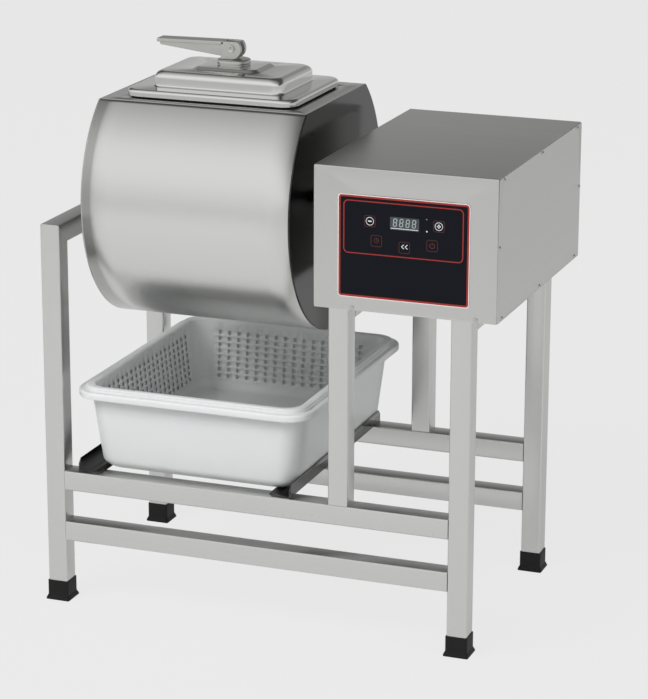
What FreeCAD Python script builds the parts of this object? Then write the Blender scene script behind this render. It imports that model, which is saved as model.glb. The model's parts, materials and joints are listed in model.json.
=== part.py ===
"""Meat vacuum tumbler, modelled as a parametric FreeCAD document.

A steel drum with a clamped lid turns on two pillow blocks above a removable tray with a
draining basket.  A welded square-tube frame carries the bearings, the tray guides and a
sheet-steel housing that holds the geared motor, the vacuum pump and the controls.

Frame: +X runs along the drum's axis towards the housing, -Y is the operator's side, +Z is
up.  The origin lies on the floor, under the middle of the whole machine.
"""
import FreeCAD, Part
import math
import os
import Sketcher

Vector = FreeCAD.Vector
DOC = FreeCAD.newDocument("vacuum_tumbler")
SHEET = DOC.addObject("Spreadsheet::Sheet", "sizes")
NODES = []


# ---------------------------------------------------------------- sizes

class Size:
    """A dimension that carries both its formula in the sheet and its present value."""

    def __init__(self, text, value):
        self.text = text
        self.value = float(value)

    def __float__(self):
        return self.value

    def __add__(self, other):
        return joined(self, "+", other)

    def __radd__(self, other):
        return joined(other, "+", self)

    def __sub__(self, other):
        return joined(self, "-", other)

    def __rsub__(self, other):
        return joined(other, "-", self)

    def __mul__(self, other):
        return joined(self, "*", other)

    def __rmul__(self, other):
        return joined(other, "*", self)

    def __truediv__(self, other):
        return joined(self, "/", other)

    def __neg__(self):
        return joined(0.0, "-", self)


def joined(left, sign, right):
    """The sum, difference, product or quotient of two dimensions, as a new dimension."""
    a, b = float(left), float(right)
    value = {"+": a + b, "-": a - b, "*": a * b, "/": a / b if b else 0.0}[sign]
    texts = [part.text if isinstance(part, Size) else f"({float(part)!r})" for part in (left, right)]
    return Size(f"({texts[0]} {sign} {texts[1]})", value)


def size(alias, value, note):
    """Writes one driving dimension into the next row of the sheet."""
    size.row += 1
    SHEET.set(f"A{size.row}", alias)
    SHEET.set(f"B{size.row}", repr(value))
    SHEET.setAlias(f"B{size.row}", alias)
    SHEET.set(f"C{size.row}", note)
    return Size(f"sizes.{alias}", value)


size.row = 0

# frame of square tube
left_x = size("left_x", -438.0, "outer face of the left legs")
front_y = size("front_y", -276.0, "front face of the front legs")
frame_length = size("frame_length", 830.0, "left legs to right legs, outside")
frame_depth = size("frame_depth", 504.0, "front legs to rear legs, outside")
tube = size("tube", 38.0, "side of the square tube")
tube_wall = size("tube_wall", 1.5, "wall of the square tube")
beam_top = size("beam_top", 731.8, "top of the beam that carries the left bearing")
upper_rail_top = size("upper_rail_top", 260.0, "top of the rails that carry the tray guides")
lower_rail_top = size("lower_rail_top", 160.0, "top of the lower rails")
head_beam_height = size("head_beam_height", 25.0, "height of the beams under the housing")
post_inset = size("post_inset", 27.0, "housing's left side to the inner posts")

# rubber foot caps
cap_height = size("cap_height", 38.5, "height of a foot cap")
cap_wall = size("cap_wall", 1.6, "rubber round the tube")
cap_sole = size("cap_sole", 4.0, "rubber under the tube")
cap_flare = size("cap_flare", 3.4, "how far the base of a cap spreads on each side")
cap_flare_height = size("cap_flare_height", 9.0, "height over which the base spreads")

# pillow blocks with a 20 mm bore, and their hexagon bolts
bearing_rise = size("bearing_rise", 33.3, "shaft centre above the bearing's seat")
bearing_length = size("bearing_length", 127.0, "length of the bearing's foot")
bearing_foot = size("bearing_foot", 14.0, "height of the bearing's foot")
bearing_width = size("bearing_width", 34.0, "width of the bearing's foot")
bearing_ring = size("bearing_ring", 31.5, "outer radius of the bearing's ring")
bearing_ring_width = size("bearing_ring_width", 27.0, "width of the bearing's ring")
bearing_race = size("bearing_race", 16.0, "radius of the outer race")
race_gap = size("race_gap", 0.3, "gap between the races")
inner_ring_width = size("inner_ring_width", 31.0, "width of the inner ring")
bolt_spacing = size("bolt_spacing", 95.0, "distance between a bearing's bolts")
bearing_bolt = size("bearing_bolt", 5.0, "radius of a bearing bolt")
hole_clearance = size("hole_clearance", 0.4, "play of a bolt in its hole, on the radius")
fit_clearance = size("fit_clearance", 0.03, "play of a shaft in a fitted bore, on the radius")
running_clearance = size("running_clearance", 0.06, "play of a shaft that turns in a bore")

# drum
drum_gap = size("drum_gap", 41.0, "left beam to the drum")
drum_length = size("drum_length", 407.0, "length of the drum over its end plates")
drum_radius = size("drum_radius", 243.2, "outer radius of the drum")
flat_height = size("flat_height", 187.2, "drum's axis to its flat top")
shell_wall = size("shell_wall", 2.0, "sheet of the drum's shell")
end_wall = size("end_wall", 3.0, "plate of the drum's ends")
mouth_length = size("mouth_length", 290.0, "mouth along the drum")
mouth_width = size("mouth_width", 214.0, "mouth across the drum")
mouth_corner = size("mouth_corner", 22.0, "corner radius of the mouth")
neck_depth = size("neck_depth", 15.5, "depth of the mouth's welded neck")
neck_wall = size("neck_wall", 3.0, "wall of the neck")
paddle_height = size("paddle_height", 42.0, "how far a paddle stands into the drum")
paddle_lip = size("paddle_lip", 16.0, "bent edge of a paddle")
paddle_sheet = size("paddle_sheet", 2.5, "sheet of the paddles")
paddle_inset = size("paddle_inset", 14.0, "paddle's end to the drum's end plate")
keeper_length = size("keeper_length", 56.0, "length of a clamp keeper")
keeper_width = size("keeper_width", 15.0, "width of a clamp keeper")

# shafts and hubs
shaft_radius = size("shaft_radius", 10.0, "radius of both drum shafts")
vacuum_bore = size("vacuum_bore", 4.0, "radius of the bore through the drive shaft")
hub_radius = size("hub_radius", 46.0, "radius of a shaft's flange")
hub_thickness = size("hub_thickness", 8.0, "thickness of a shaft's flange")
hub_boss = size("hub_boss", 17.0, "radius of the boss behind the flange")
hub_boss_length = size("hub_boss_length", 9.0, "length of the boss")
hub_bolt_circle = size("hub_bolt_circle", 35.0, "radius of the flange's bolt circle")
hub_bolt = size("hub_bolt", 3.0, "radius of a flange bolt")
shaft_end_inset = size("shaft_end_inset", 1.0, "left shaft's end inside the beam's face")

# lid
lid_length = size("lid_length", 334.0, "lid along the drum")
lid_width = size("lid_width", 258.0, "lid across the drum")
lid_corner = size("lid_corner", 30.0, "corner radius of the lid")
lid_rim = size("lid_rim", 12.5, "height of the lid's rim")
lid_sheet = size("lid_sheet", 1.5, "sheet of the lid")
lid_shelf = size("lid_shelf", 40.0, "lid's rim to its dome")
lid_height = size("lid_height", 41.2, "height of the lid without its pad")
gasket_height = size("gasket_height", 3.5, "gasket shown between lid and drum")
gasket_width = size("gasket_width", 14.0, "width of the gasket")
gasket_inset = size("gasket_inset", 6.0, "lid's rim to the gasket")
pad_length = size("pad_length", 124.0, "raised pad along the drum")
pad_width = size("pad_width", 100.0, "raised pad across the drum")
pad_height = size("pad_height", 5.5, "height of the raised pad")
pad_corner = size("pad_corner", 16.0, "corner radius of the raised pad")

# lid clamp
collar_radius = size("collar_radius", 31.0, "radius of the clamp's collar")
collar_height = size("collar_height", 10.0, "height of the collar")
collar_hub = size("collar_hub", 14.0, "radius of the collar's hub in the lid")
collar_gap = size("collar_gap", 0.2, "collar above the pad")
stud_radius = size("stud_radius", 8.0, "radius of the clamp's stud")
stud_thread = size("stud_thread", 6.0, "radius of the stud's threaded end")
blade_width = size("blade_width", 14.0, "width of the stud's head between the cheeks")
blade_play = size("blade_play", 0.5, "play of the head between the cheeks")
cam_low = size("cam_low", 20.5, "pin to the cam's low side")
cam_throw = size("cam_throw", 1.5, "how far the cam lets the stud drop")
cam_gap = size("cam_gap", 0.4, "cam above the collar")
lever_length = size("lever_length", 149.0, "pin to the lever's tip")
lever_width = size("lever_width", 30.0, "width of the lever")
lever_rise = size("lever_rise", 13.0, "pin to the top of the lever")
lever_web = size("lever_web", 17.0, "width of the web under the lever's top")
lever_top = size("lever_top", 6.0, "thickness of the lever's top plate")
cheek_back = size("cheek_back", 20.5, "pin to the back of the cheeks")
pin_radius = size("pin_radius", 4.0, "radius of the lever's pin")
bar_length = size("bar_length", 250.0, "length of the clamp bar")
bar_width = size("bar_width", 30.0, "width of the clamp bar")
bar_height = size("bar_height", 12.0, "height of the clamp bar")
bar_play = size("bar_play", 0.3, "clamp bar below the keepers")

# tray guides
guide_height = size("guide_height", 25.0, "height of a guide's upright side")
guide_width = size("guide_width", 44.0, "width of a guide's flat side")
guide_sheet = size("guide_sheet", 2.0, "sheet of the guides")
guide_spread = size("guide_spread", 423.0, "outside of the left guide to outside of the right")
guide_shift = size("guide_shift", -6.0, "guides' middle from the drum's middle")
guide_clip = size("guide_clip", 9.0, "clipped corner of a guide")
guide_inset = size("guide_inset", 6.0, "frame's front face to the guides")

# tray and basket
tray_length = size("tray_length", 466.0, "tray's rim along the drum")
tray_depth = size("tray_depth", 558.0, "tray's rim from front to rear")
tray_height = size("tray_height", 157.0, "height of the tray")
tray_corner = size("tray_corner", 52.0, "corner radius of the tray's rim")
tray_wall = size("tray_wall", 2.5, "wall of the tray")
tray_rim = size("tray_rim", 21.0, "how far the tray's rim stands out")
tray_lip = size("tray_lip", 13.0, "height of the rim's turned-down lip")
tray_taper = size("tray_taper", 17.0, "how far each wall leans in")
tray_skew = size("tray_skew", 5.5, "tray's middle from the drum's middle, along X")
tray_shift = size("tray_shift", 23.0, "tray's middle behind the drum's axis")
tray_foot_radius = size("tray_foot_radius", 20.0, "radius round the tray's bottom")
seat_gap = size("seat_gap", 0.3, "gap under a piece that rests by its own weight")
basket_play = size("basket_play", 4.0, "gap between basket and tray walls")
basket_floor = size("basket_floor", 24.0, "basket's floor above the tray's floor")
basket_rim = size("basket_rim", 12.0, "how far the basket's rim lies over the tray's")
basket_bead = size("basket_bead", 6.0, "height of the basket's rim")
slot_width = size("slot_width", 7.0, "width of a draining slot")
slot_height = size("slot_height", 15.0, "height of a draining slot")
slot_pitch = size("slot_pitch", 22.0, "distance from slot to slot")

# housing
housing_gap = size("housing_gap", 50.2, "drum to the housing")
housing_overhang = size("housing_overhang", 46.2, "housing past the right legs")
housing_lap = size("housing_lap", 2.0, "housing in front of the front legs")
housing_back = size("housing_back", 14.0, "housing behind the rear legs")
housing_base = size("housing_base", 630.0, "underside of the housing")
housing_height = size("housing_height", 258.0, "height of the housing")
sheet = size("sheet", 1.5, "sheet of the housing")
bend = size("bend", 3.0, "outer bend radius of the housing")
flange = size("flange", 14.0, "width of the housing's inner flanges")
shaft_opening = size("shaft_opening", 17.0, "radius of the shaft's opening in the side panel")
screw_head = size("screw_head", 4.0, "radius of a panel screw's head")
screw_rise = size("screw_rise", 2.4, "height of a panel screw's head")
screw_shank = size("screw_shank", 2.0, "radius of a panel screw's shank")
screw_reach = size("screw_reach", 9.0, "length of a panel screw's shank")
screw_edge = size("screw_edge", 7.0, "panel's top or upright edge to a screw")
screw_foot = size("screw_foot", 4.6, "panel's lower edge to a screw")
screw_corner = size("screw_corner", 28.0, "panel's corner to the nearest screw of a row")

# control panel
overlay_length = size("overlay_length", 243.0, "width of the keypad overlay")
overlay_height = size("overlay_height", 186.0, "height of the keypad overlay")
overlay_x = size("overlay_x", 45.8, "housing's left side to the overlay")
overlay_z = size("overlay_z", 24.0, "housing's underside to the overlay")
overlay_corner = size("overlay_corner", 7.0, "corner radius of the overlay")
overlay_sheet = size("overlay_sheet", 0.8, "thickness of the overlay")
window_length = size("window_length", 53.6, "width of the display window")
window_height = size("window_height", 23.0, "height of the display window")
window_x = size("window_x", 96.4, "overlay's left edge to the window")
window_z = size("window_z", 128.8, "overlay's lower edge to the window")
display_depth = size("display_depth", 9.0, "depth of the display module")
display_recess = size("display_recess", 0.4, "display's face behind the overlay's")
board_length = size("board_length", 180.0, "width of the control board")
board_height = size("board_height", 120.0, "height of the control board")
board_sheet = size("board_sheet", 1.6, "thickness of the control board")

# drive
gear_module = size("gear_module", 2.5, "module of the gears")
gear_backlash = size("gear_backlash", 0.12, "material off each flank of a tooth")
gear_width = size("gear_width", 20.0, "width of the drum gear")
gear_offset = size("gear_offset", 22.0, "bearing's middle to the drum gear")
pinion_width = size("pinion_width", 24.0, "width of the pinion")
output_radius = size("output_radius", 7.0, "radius of the gearbox's output shaft")
plate_gap = size("plate_gap", 8.0, "pinion to the motor plate")
plate_thickness = size("plate_thickness", 6.0, "thickness of the motor plate")
gearbox_side = size("gearbox_side", 92.0, "side of the square gearbox")
gearbox_length = size("gearbox_length", 58.0, "length of the gearbox")
motor_radius = size("motor_radius", 43.0, "radius of the motor")
motor_length = size("motor_length", 126.0, "length of the motor")
pedestal_width = size("pedestal_width", 38.0, "width of the bearing pedestal")
pedestal_sheet = size("pedestal_sheet", 5.0, "plate of the bearing pedestal")
union_radius = size("union_radius", 17.0, "radius of the rotary union")
union_length = size("union_length", 42.0, "length of the rotary union")
union_offset = size("union_offset", 96.0, "bearing's middle to the rotary union")
pump_x = size("pump_x", 95.0, "vacuum pump's middle inside the housing's right side")
pump_y = size("pump_y", 128.0, "vacuum pump's middle behind the housing's front")
pump_height = size("pump_height", 72.0, "height of the pump's outlet above the floor")
hose_radius = size("hose_radius", 4.0, "radius of the vacuum hose")
gland_radius = size("gland_radius", 10.0, "radius of the cable gland's thread")
gland_bore = size("gland_bore", 4.5, "radius of the cable gland's bore")
gland_x = size("gland_x", 60.0, "cable gland inside the housing's right side")
gland_z = size("gland_z", 52.0, "cable gland above the housing's underside")

GEAR_TEETH = 72
PINION_TEETH = 18

# places that follow from the sizes
axis_y = front_y + frame_depth / 2
axis_z = beam_top + bearing_rise
right_x = left_x + frame_length
drum_left = left_x + tube + drum_gap
drum_right = drum_left + drum_length
drum_mid = drum_left + drum_length / 2
flat_z = axis_z + flat_height
housing_left = drum_right + housing_gap
housing_right = right_x + housing_overhang
housing_length = housing_right - housing_left
housing_front = front_y - housing_lap
housing_top = housing_base + housing_height
housing_depth = frame_depth + housing_lap + housing_back
housing_rear = housing_front + housing_depth
post_x = housing_left + post_inset
floor_z = housing_base + sheet
bearing_left_x = left_x + tube / 2
bearing_right_x = post_x + tube / 2
lid_z = flat_z + gasket_height
pad_z = lid_z + lid_height
collar_z = pad_z + pad_height + collar_gap
pivot_z = collar_z + collar_height + cam_low + cam_gap
keeper_z = flat_z - shell_wall - neck_depth
tray_z = upper_rail_top + guide_sheet + seat_gap
tray_mid_y = axis_y + tray_shift
gear_x = bearing_right_x + gear_offset
gear_centres = gear_module * ((GEAR_TEETH + PINION_TEETH) / 2)
pinion_y = axis_y + gear_centres
plate_x = gear_x + pinion_width + plate_gap
union_x = bearing_right_x + union_offset


# ---------------------------------------------------------------- helpers

def bind(thing, prop, amount):
    """Ties a property to a dimension, so that it follows the sheet."""
    text = amount.text if isinstance(amount, Size) else repr(float(amount))
    thing.setExpression(prop, text)


def place(thing, x, y, z):
    """Ties an object's place to dimensions."""
    for axis, amount in (("x", x), ("y", y), ("z", z)):
        bind(thing, f"Placement.Base.{axis}", amount)


def body(name):
    """A new sub-part, made from sketches."""
    made = DOC.addObject("PartDesign::Body", name)
    made.Label = name
    NODES.append(made)
    return made


def solid_node(name, shape):
    """A new sub-part whose shape is worked out with Part's own functions."""
    made = DOC.addObject("Part::Feature", name)
    made.Label = name
    made.Shape = shape
    NODES.append(made)
    return made


def sketch(owner, plane, offset=0.0):
    """A sketch on one of the body's own origin planes, shifted along the plane's normal."""
    made = owner.newObject("Sketcher::SketchObject", "sketch")
    support = [item for item in owner.Origin.OriginFeatures if item.Role == plane][0]
    made.AttachmentSupport = [(support, "")]
    made.MapMode = "FlatFace"
    if isinstance(offset, Size) or offset:
        bind(made, "AttachmentOffset.Base.z", offset)
    return made


def hold(on, item, end, u, v):
    """Holds a point of a sketch at two distances from the sketch's origin."""
    for kind, axis, amount in (("DistanceX", -2, u), ("DistanceY", -1, v)):
        if not isinstance(amount, Size) and amount == 0:
            on.addConstraint(Sketcher.Constraint("PointOnObject", item, end, axis))
            continue
        index = on.addConstraint(Sketcher.Constraint(kind, -1, 1, item, end, float(amount)))
        if isinstance(amount, Size):
            on.setExpression(f"Constraints[{index}]", amount.text)


def outline(on, points):
    """A closed outline of straight lines through the given points."""
    first = on.GeometryCount
    spots = [Vector(float(u), float(v), 0) for u, v in points]
    count = len(points)
    on.addGeometry([Part.LineSegment(spots[i], spots[(i + 1) % count]) for i in range(count)])
    for i in range(count):
        on.addConstraint(Sketcher.Constraint("Coincident", first + i, 2, first + (i + 1) % count, 1))
    for i, (u, v) in enumerate(points):
        hold(on, first + i, 1, u, v)


def rectangle(on, u0, v0, u1, v1):
    """A rectangle between two opposite corners."""
    outline(on, [(u0, v0), (u1, v0), (u1, v1), (u0, v1)])


def circle(on, u, v, radius):
    """A circle at a point."""
    index = on.addGeometry(Part.Circle(Vector(float(u), float(v), 0), Vector(0, 0, 1), float(radius)))
    hold(on, index, 3, u, v)
    held = on.addConstraint(Sketcher.Constraint("Radius", index, float(radius)))
    if isinstance(radius, Size):
        on.setExpression(f"Constraints[{held}]", radius.text)


def rounded(on, u0, v0, u1, v1, radius):
    """A rectangle with round corners: four lines held by their ends, joined by four arcs."""
    r = float(radius)
    corners = [(u0, v0, 1, 1), (u1, v0, -1, 1), (u1, v1, -1, -1), (u0, v1, 1, -1)]
    starts = [(u0 + radius, v0), (u1, v0 + radius), (u1 - radius, v1), (u0, v1 - radius)]
    ends = [(u1 - radius, v0), (u1, v1 - radius), (u0 + radius, v1), (u0, v0 + radius)]
    first = on.GeometryCount
    for (su, sv), (eu, ev) in zip(starts, ends):
        on.addGeometry(Part.LineSegment(Vector(float(su), float(sv), 0), Vector(float(eu), float(ev), 0)))
    for i, (cu, cv, du, dv) in enumerate(corners):
        middle = Vector(float(cu) + du * r, float(cv) + dv * r, 0)
        start = math.radians(180 + 90 * i)
        on.addGeometry(Part.ArcOfCircle(Part.Circle(middle, Vector(0, 0, 1), r), start, start + math.pi / 2))
    for i in range(4):
        arc = first + 4 + i
        on.addConstraint(Sketcher.Constraint("Coincident", arc, 1, first + (i + 3) % 4, 2))
        on.addConstraint(Sketcher.Constraint("Coincident", arc, 2, first + i, 1))
        index = on.addConstraint(Sketcher.Constraint("Radius", arc, r))
        if isinstance(radius, Size):
            on.setExpression(f"Constraints[{index}]", radius.text)
    for i in range(4):
        hold(on, first + i, 1, *starts[i])
        hold(on, first + i, 2, *ends[i])


def flat_topped(on, radius, height):
    """A circle about the origin whose top is cut off flat at a height."""
    r, top = float(radius), float(height)
    half = math.sqrt(r * r - top * top)
    angle = math.atan2(top, half)
    ring = Part.Circle(Vector(0, 0, 0), Vector(0, 0, 1), r)
    arc = on.addGeometry(Part.ArcOfCircle(ring, math.pi - angle, 2 * math.pi + angle))
    line = on.addGeometry(Part.LineSegment(Vector(half, top, 0), Vector(-half, top, 0)))
    on.addConstraint(Sketcher.Constraint("Coincident", arc, 3, -1, 1))
    on.addConstraint(Sketcher.Constraint("Coincident", arc, 2, line, 1))
    on.addConstraint(Sketcher.Constraint("Coincident", arc, 1, line, 2))
    on.addConstraint(Sketcher.Constraint("Horizontal", line))
    held = on.addConstraint(Sketcher.Constraint("Radius", arc, r))
    on.setExpression(f"Constraints[{held}]", radius.text)
    held = on.addConstraint(Sketcher.Constraint("DistanceY", -1, 1, line, 1, top))
    on.setExpression(f"Constraints[{held}]", height.text)


def pad(owner, on, length, backwards=False):
    """Raises a sketch into a solid, along the sketch's normal unless it goes backwards."""
    made = owner.newObject("PartDesign::Pad", "pad")
    made.Profile = on
    bind(made, "Length", length)
    made.Reversed = backwards
    return made


def pocket(owner, on, depth=None, backwards=False):
    """Cuts a sketch out of a solid, against the sketch's normal unless it goes backwards."""
    made = owner.newObject("PartDesign::Pocket", "pocket")
    made.Profile = on
    if depth is None:
        made.Type = "ThroughAll"
    else:
        bind(made, "Length", depth)
    made.Reversed = backwards
    return made


def turned(owner, plane, points, axis):
    """Revolves a profile of straight lines about one of its sketch's own axes."""
    on = sketch(owner, plane)
    outline(on, points)
    made = owner.newObject("PartDesign::Revolution", "turning")
    made.Profile = on
    made.ReferenceAxis = (on, [axis])
    made.Angle = 360
    return made


def dress(owner, kind, amount, chosen):
    """Rounds or bevels the edges of the body's present shape that a test chooses."""
    DOC.recompute()
    base = owner.Tip
    names = [f"Edge{i}" for i, edge in enumerate(base.Shape.Edges, 1) if chosen(edge)]
    if not names:
        raise ValueError(f"{owner.Label}: no edge to dress")
    made = owner.newObject(f"PartDesign::{kind}", kind.lower())
    made.Base = (base, names)
    bind(made, "Radius" if kind == "Fillet" else "Size", amount)
    return made


def edge_box(edge):
    """The lowest and highest corner of an edge, in the body's own axes."""
    box = edge.BoundBox
    return box.XMin, box.YMin, box.ZMin, box.XMax, box.YMax, box.ZMax


def level(edge, z):
    """Whether an edge lies flat at a height."""
    box = edge.BoundBox
    return abs(box.ZMin - float(z)) < 0.01 and abs(box.ZMax - float(z)) < 0.01


def along(edge, axis):
    """Whether an edge is straight and runs along one axis."""
    box = edge.BoundBox
    spans = {"x": box.XLength, "y": box.YLength, "z": box.ZLength}
    return spans[axis] > 0.1 and all(span < 0.01 for key, span in spans.items() if key != axis)


def moved(shape, x=0.0, y=0.0, z=0.0, turn=0.0, axis=(1, 0, 0)):
    """A copy of a shape, turned about an axis through the origin and then shifted."""
    copy = shape.copy()
    copy.rotate(Vector(0, 0, 0), Vector(*axis), turn)
    copy.translate(Vector(float(x), float(y), float(z)))
    return copy


def block(length, depth, height, x=0.0, y=0.0, z=0.0):
    """A box from its lowest corner."""
    return Part.makeBox(float(length), float(depth), float(height), Vector(float(x), float(y), float(z)))


def rod(radius, length, x=0.0, y=0.0, z=0.0, axis=(0, 0, 1)):
    """A round bar from the middle of its first end."""
    spot = Vector(float(x), float(y), float(z))
    return Part.makeCylinder(float(radius), float(length), spot, Vector(*axis))


def hexagon(across, height):
    """A hexagonal prism, given its size across the flats."""
    radius = float(across) / math.sqrt(3)
    ring = [Vector(radius * math.cos(math.radians(60 * i)), radius * math.sin(math.radians(60 * i)), 0)
            for i in range(6)]
    return Part.Face(Part.makePolygon(ring + ring[:1])).extrude(Vector(0, 0, float(height)))


def hex_bolt(radius, reach):
    """A hexagon bolt with a washer, its shank reaching down from the origin."""
    r = float(radius)
    washer = rod(r * 2.1, r * 0.3)
    head = moved(hexagon(r * 3.4, r * 1.3), z=r * 0.3)
    return washer.fuse([head, rod(r, reach, z=-float(reach))]).removeSplitter()


def rounded_wire(length, depth, radius, z):
    """A flat rectangle with round corners, centred on the Z axis."""
    a, b, r = float(length) / 2, float(depth) / 2, float(radius)
    edges = []
    spots = [(a, b, 0), (-a, b, 90), (-a, -b, 180), (a, -b, 270)]
    for u, v, start in spots:
        middle = Vector(math.copysign(a - r, u), math.copysign(b - r, v), float(z))
        angles = [math.radians(start + step) for step in (0, 45, 90)]
        edges.append(Part.Arc(*[middle + Vector(r * math.cos(t), r * math.sin(t), 0) for t in angles]).toShape())
    joined_edges = []
    for i, edge in enumerate(edges):
        following = edges[(i + 1) % 4]
        joined_edges.append(edge)
        joined_edges.append(Part.LineSegment(edge.valueAt(edge.LastParameter),
                                             following.valueAt(following.FirstParameter)).toShape())
    return Part.Wire(joined_edges)


def tub(sections):
    """A solid through rounded rectangles: (length, depth, corner radius, height) each."""
    return Part.makeLoft([rounded_wire(*section) for section in sections], True, True)


# ---------------------------------------------------------------- frame

def square_post(name, x, y, bottom, top):
    """An upright length of square tube."""
    made = body(name)
    on = sketch(made, "XY_Plane")
    rectangle(on, 0, 0, tube, tube)
    rectangle(on, tube_wall, tube_wall, tube - tube_wall, tube - tube_wall)
    pad(made, on, top - bottom)
    place(made, x, y, bottom)


def square_rail(name, y, top):
    """A length of square tube between a left and a right leg."""
    made = body(name)
    on = sketch(made, "YZ_Plane")
    rectangle(on, 0, 0, tube, tube)
    rectangle(on, tube_wall, tube_wall, tube - tube_wall, tube - tube_wall)
    pad(made, on, frame_length - tube * 2)
    place(made, left_x + tube, y, top - tube)


def mitred_leg(name, y, outer_first):
    """A left leg, its top cut at 45 degrees to meet the bearing beam."""
    made = body(name)
    height = beam_top - cap_sole
    on = sketch(made, "YZ_Plane")
    tops = [(tube, height - tube), (0, height)] if outer_first else [(tube, height), (0, height - tube)]
    outline(on, [(0, 0), (tube, 0)] + tops)
    pad(made, on, tube)
    inside = sketch(made, "XY_Plane")
    rectangle(inside, tube_wall, tube_wall, tube - tube_wall, tube - tube_wall)
    pocket(made, inside, backwards=True)
    place(made, left_x, y, cap_sole)


def frame_tubes():
    """Legs, rails, posts and beams, each its own length of tube."""
    rear = front_y + frame_depth - tube
    mitred_leg("leg_front_left", front_y, True)
    mitred_leg("leg_rear_left", rear, False)
    square_post("leg_front_right", right_x - tube, front_y, cap_sole, housing_base)
    square_post("leg_rear_right", right_x - tube, rear, cap_sole, housing_base)
    for end, y in (("front", front_y), ("rear", rear)):
        square_rail(f"upper_rail_{end}", y, upper_rail_top)
        square_rail(f"lower_rail_{end}", y, lower_rail_top)
        square_post(f"inner_post_{end}", post_x, y, upper_rail_top, housing_base)
    for name, x in (("head_beam_inner", post_x), ("head_beam_right", right_x - tube)):
        made = body(name)
        on = sketch(made, "XZ_Plane")
        rectangle(on, 0, 0, tube, head_beam_height)
        rectangle(on, tube_wall, tube_wall, tube - tube_wall, head_beam_height - tube_wall)
        pad(made, on, frame_depth - tube * 2, backwards=True)
        place(made, x, front_y + tube, housing_base - head_beam_height)


def bearing_beam():
    """The mitred beam across the left legs, drilled for the left bearing."""
    made = body("bearing_beam")
    on = sketch(made, "YZ_Plane")
    outline(on, [(0, tube), (frame_depth, tube), (frame_depth - tube, 0), (tube, 0)])
    pad(made, on, tube)
    inside = sketch(made, "XZ_Plane")
    rectangle(inside, tube_wall, tube_wall, tube - tube_wall, tube - tube_wall)
    pocket(made, inside)
    holes = sketch(made, "XY_Plane", tube)
    for side in (-1, 1):
        circle(holes, tube / 2, frame_depth / 2 + bolt_spacing * (side / 2), bearing_bolt + hole_clearance)
    pocket(made, holes, tube_wall * 2)
    place(made, left_x, front_y, beam_top - tube)


def foot_caps():
    """Four rubber caps: a sleeve round each leg over a base that spreads outwards."""
    side = float(tube + cap_wall * 2)
    base = side + 2 * float(cap_flare)
    skirt = tub([(base, base, 3, 0), (base, base, 3, 1.5), (side, side, 2.5, cap_flare_height)])
    sleeve = tub([(side, side, 2.5, cap_flare_height), (side, side, 2.5, cap_height)])
    hollow = block(tube, tube, cap_height, -tube / 2, -tube / 2, cap_sole)
    cap = skirt.fuse(sleeve).cut(hollow).removeSplitter()
    caps = [moved(cap, x + tube / 2, y + tube / 2)
            for x in (left_x, right_x - tube) for y in (front_y, front_y + frame_depth - tube)]
    solid_node("foot_caps", Part.makeCompound(caps))


def tray_guide(name, x, upright_left):
    """A bent angle that the tray stands and slides on, its front corners clipped."""
    made = body(name)
    on = sketch(made, "XZ_Plane")
    w, t, h = guide_width, guide_sheet, guide_height
    if upright_left:
        outline(on, [(0, 0), (w, 0), (w, t), (t, t), (t, h), (0, h)])
    else:
        outline(on, [(0, 0), (w, 0), (w, h), (w - t, h), (w - t, t), (0, t)])
    pad(made, on, frame_depth - guide_inset * 2, backwards=True)
    dress(made, "Chamfer", guide_clip, lambda edge: along(edge, "x") and level(edge, guide_height))
    free_edge = float(guide_width) if upright_left else 0.0
    dress(made, "Chamfer", guide_clip, lambda edge: along(edge, "z") and abs(edge_box(edge)[0] - free_edge) < 0.01)
    place(made, x, front_y + guide_inset, upper_rail_top)


def tray_guides():
    """Two angles lying on the upper rails, one under each side of the tray."""
    tray_guide("tray_guide_left", drum_mid - guide_spread / 2 + guide_shift, True)
    tray_guide("tray_guide_right", drum_mid + guide_spread / 2 + guide_shift - guide_width, False)


# ---------------------------------------------------------------- bearings

def pillow_block(name, x, y, z):
    """A cast pillow block: a foot with two bolt holes, and a ring that holds the race."""
    made = body(name)
    foot = sketch(made, "YZ_Plane", -bearing_width / 2)
    rectangle(foot, -bearing_length / 2, 0, bearing_length / 2, bearing_foot)
    pad(made, foot, bearing_width)
    dress(made, "Fillet", bearing_foot / 2, lambda edge: along(edge, "z"))
    neck = sketch(made, "YZ_Plane", -bearing_ring_width / 2)
    rectangle(neck, -bearing_ring, bearing_foot / 2, bearing_ring, bearing_rise)
    pad(made, neck, bearing_ring_width)
    ring = sketch(made, "YZ_Plane", -bearing_ring_width / 2)
    circle(ring, 0, bearing_rise, bearing_ring)
    pad(made, ring, bearing_ring_width)
    race = sketch(made, "YZ_Plane", bearing_width)
    circle(race, 0, bearing_rise, bearing_race)
    pocket(made, race)
    holes = sketch(made, "XY_Plane", bearing_foot)
    for side in (-1, 1):
        circle(holes, 0, bolt_spacing * (side / 2), bearing_bolt + hole_clearance)
    pocket(made, holes)
    place(made, x, y, z)


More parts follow.
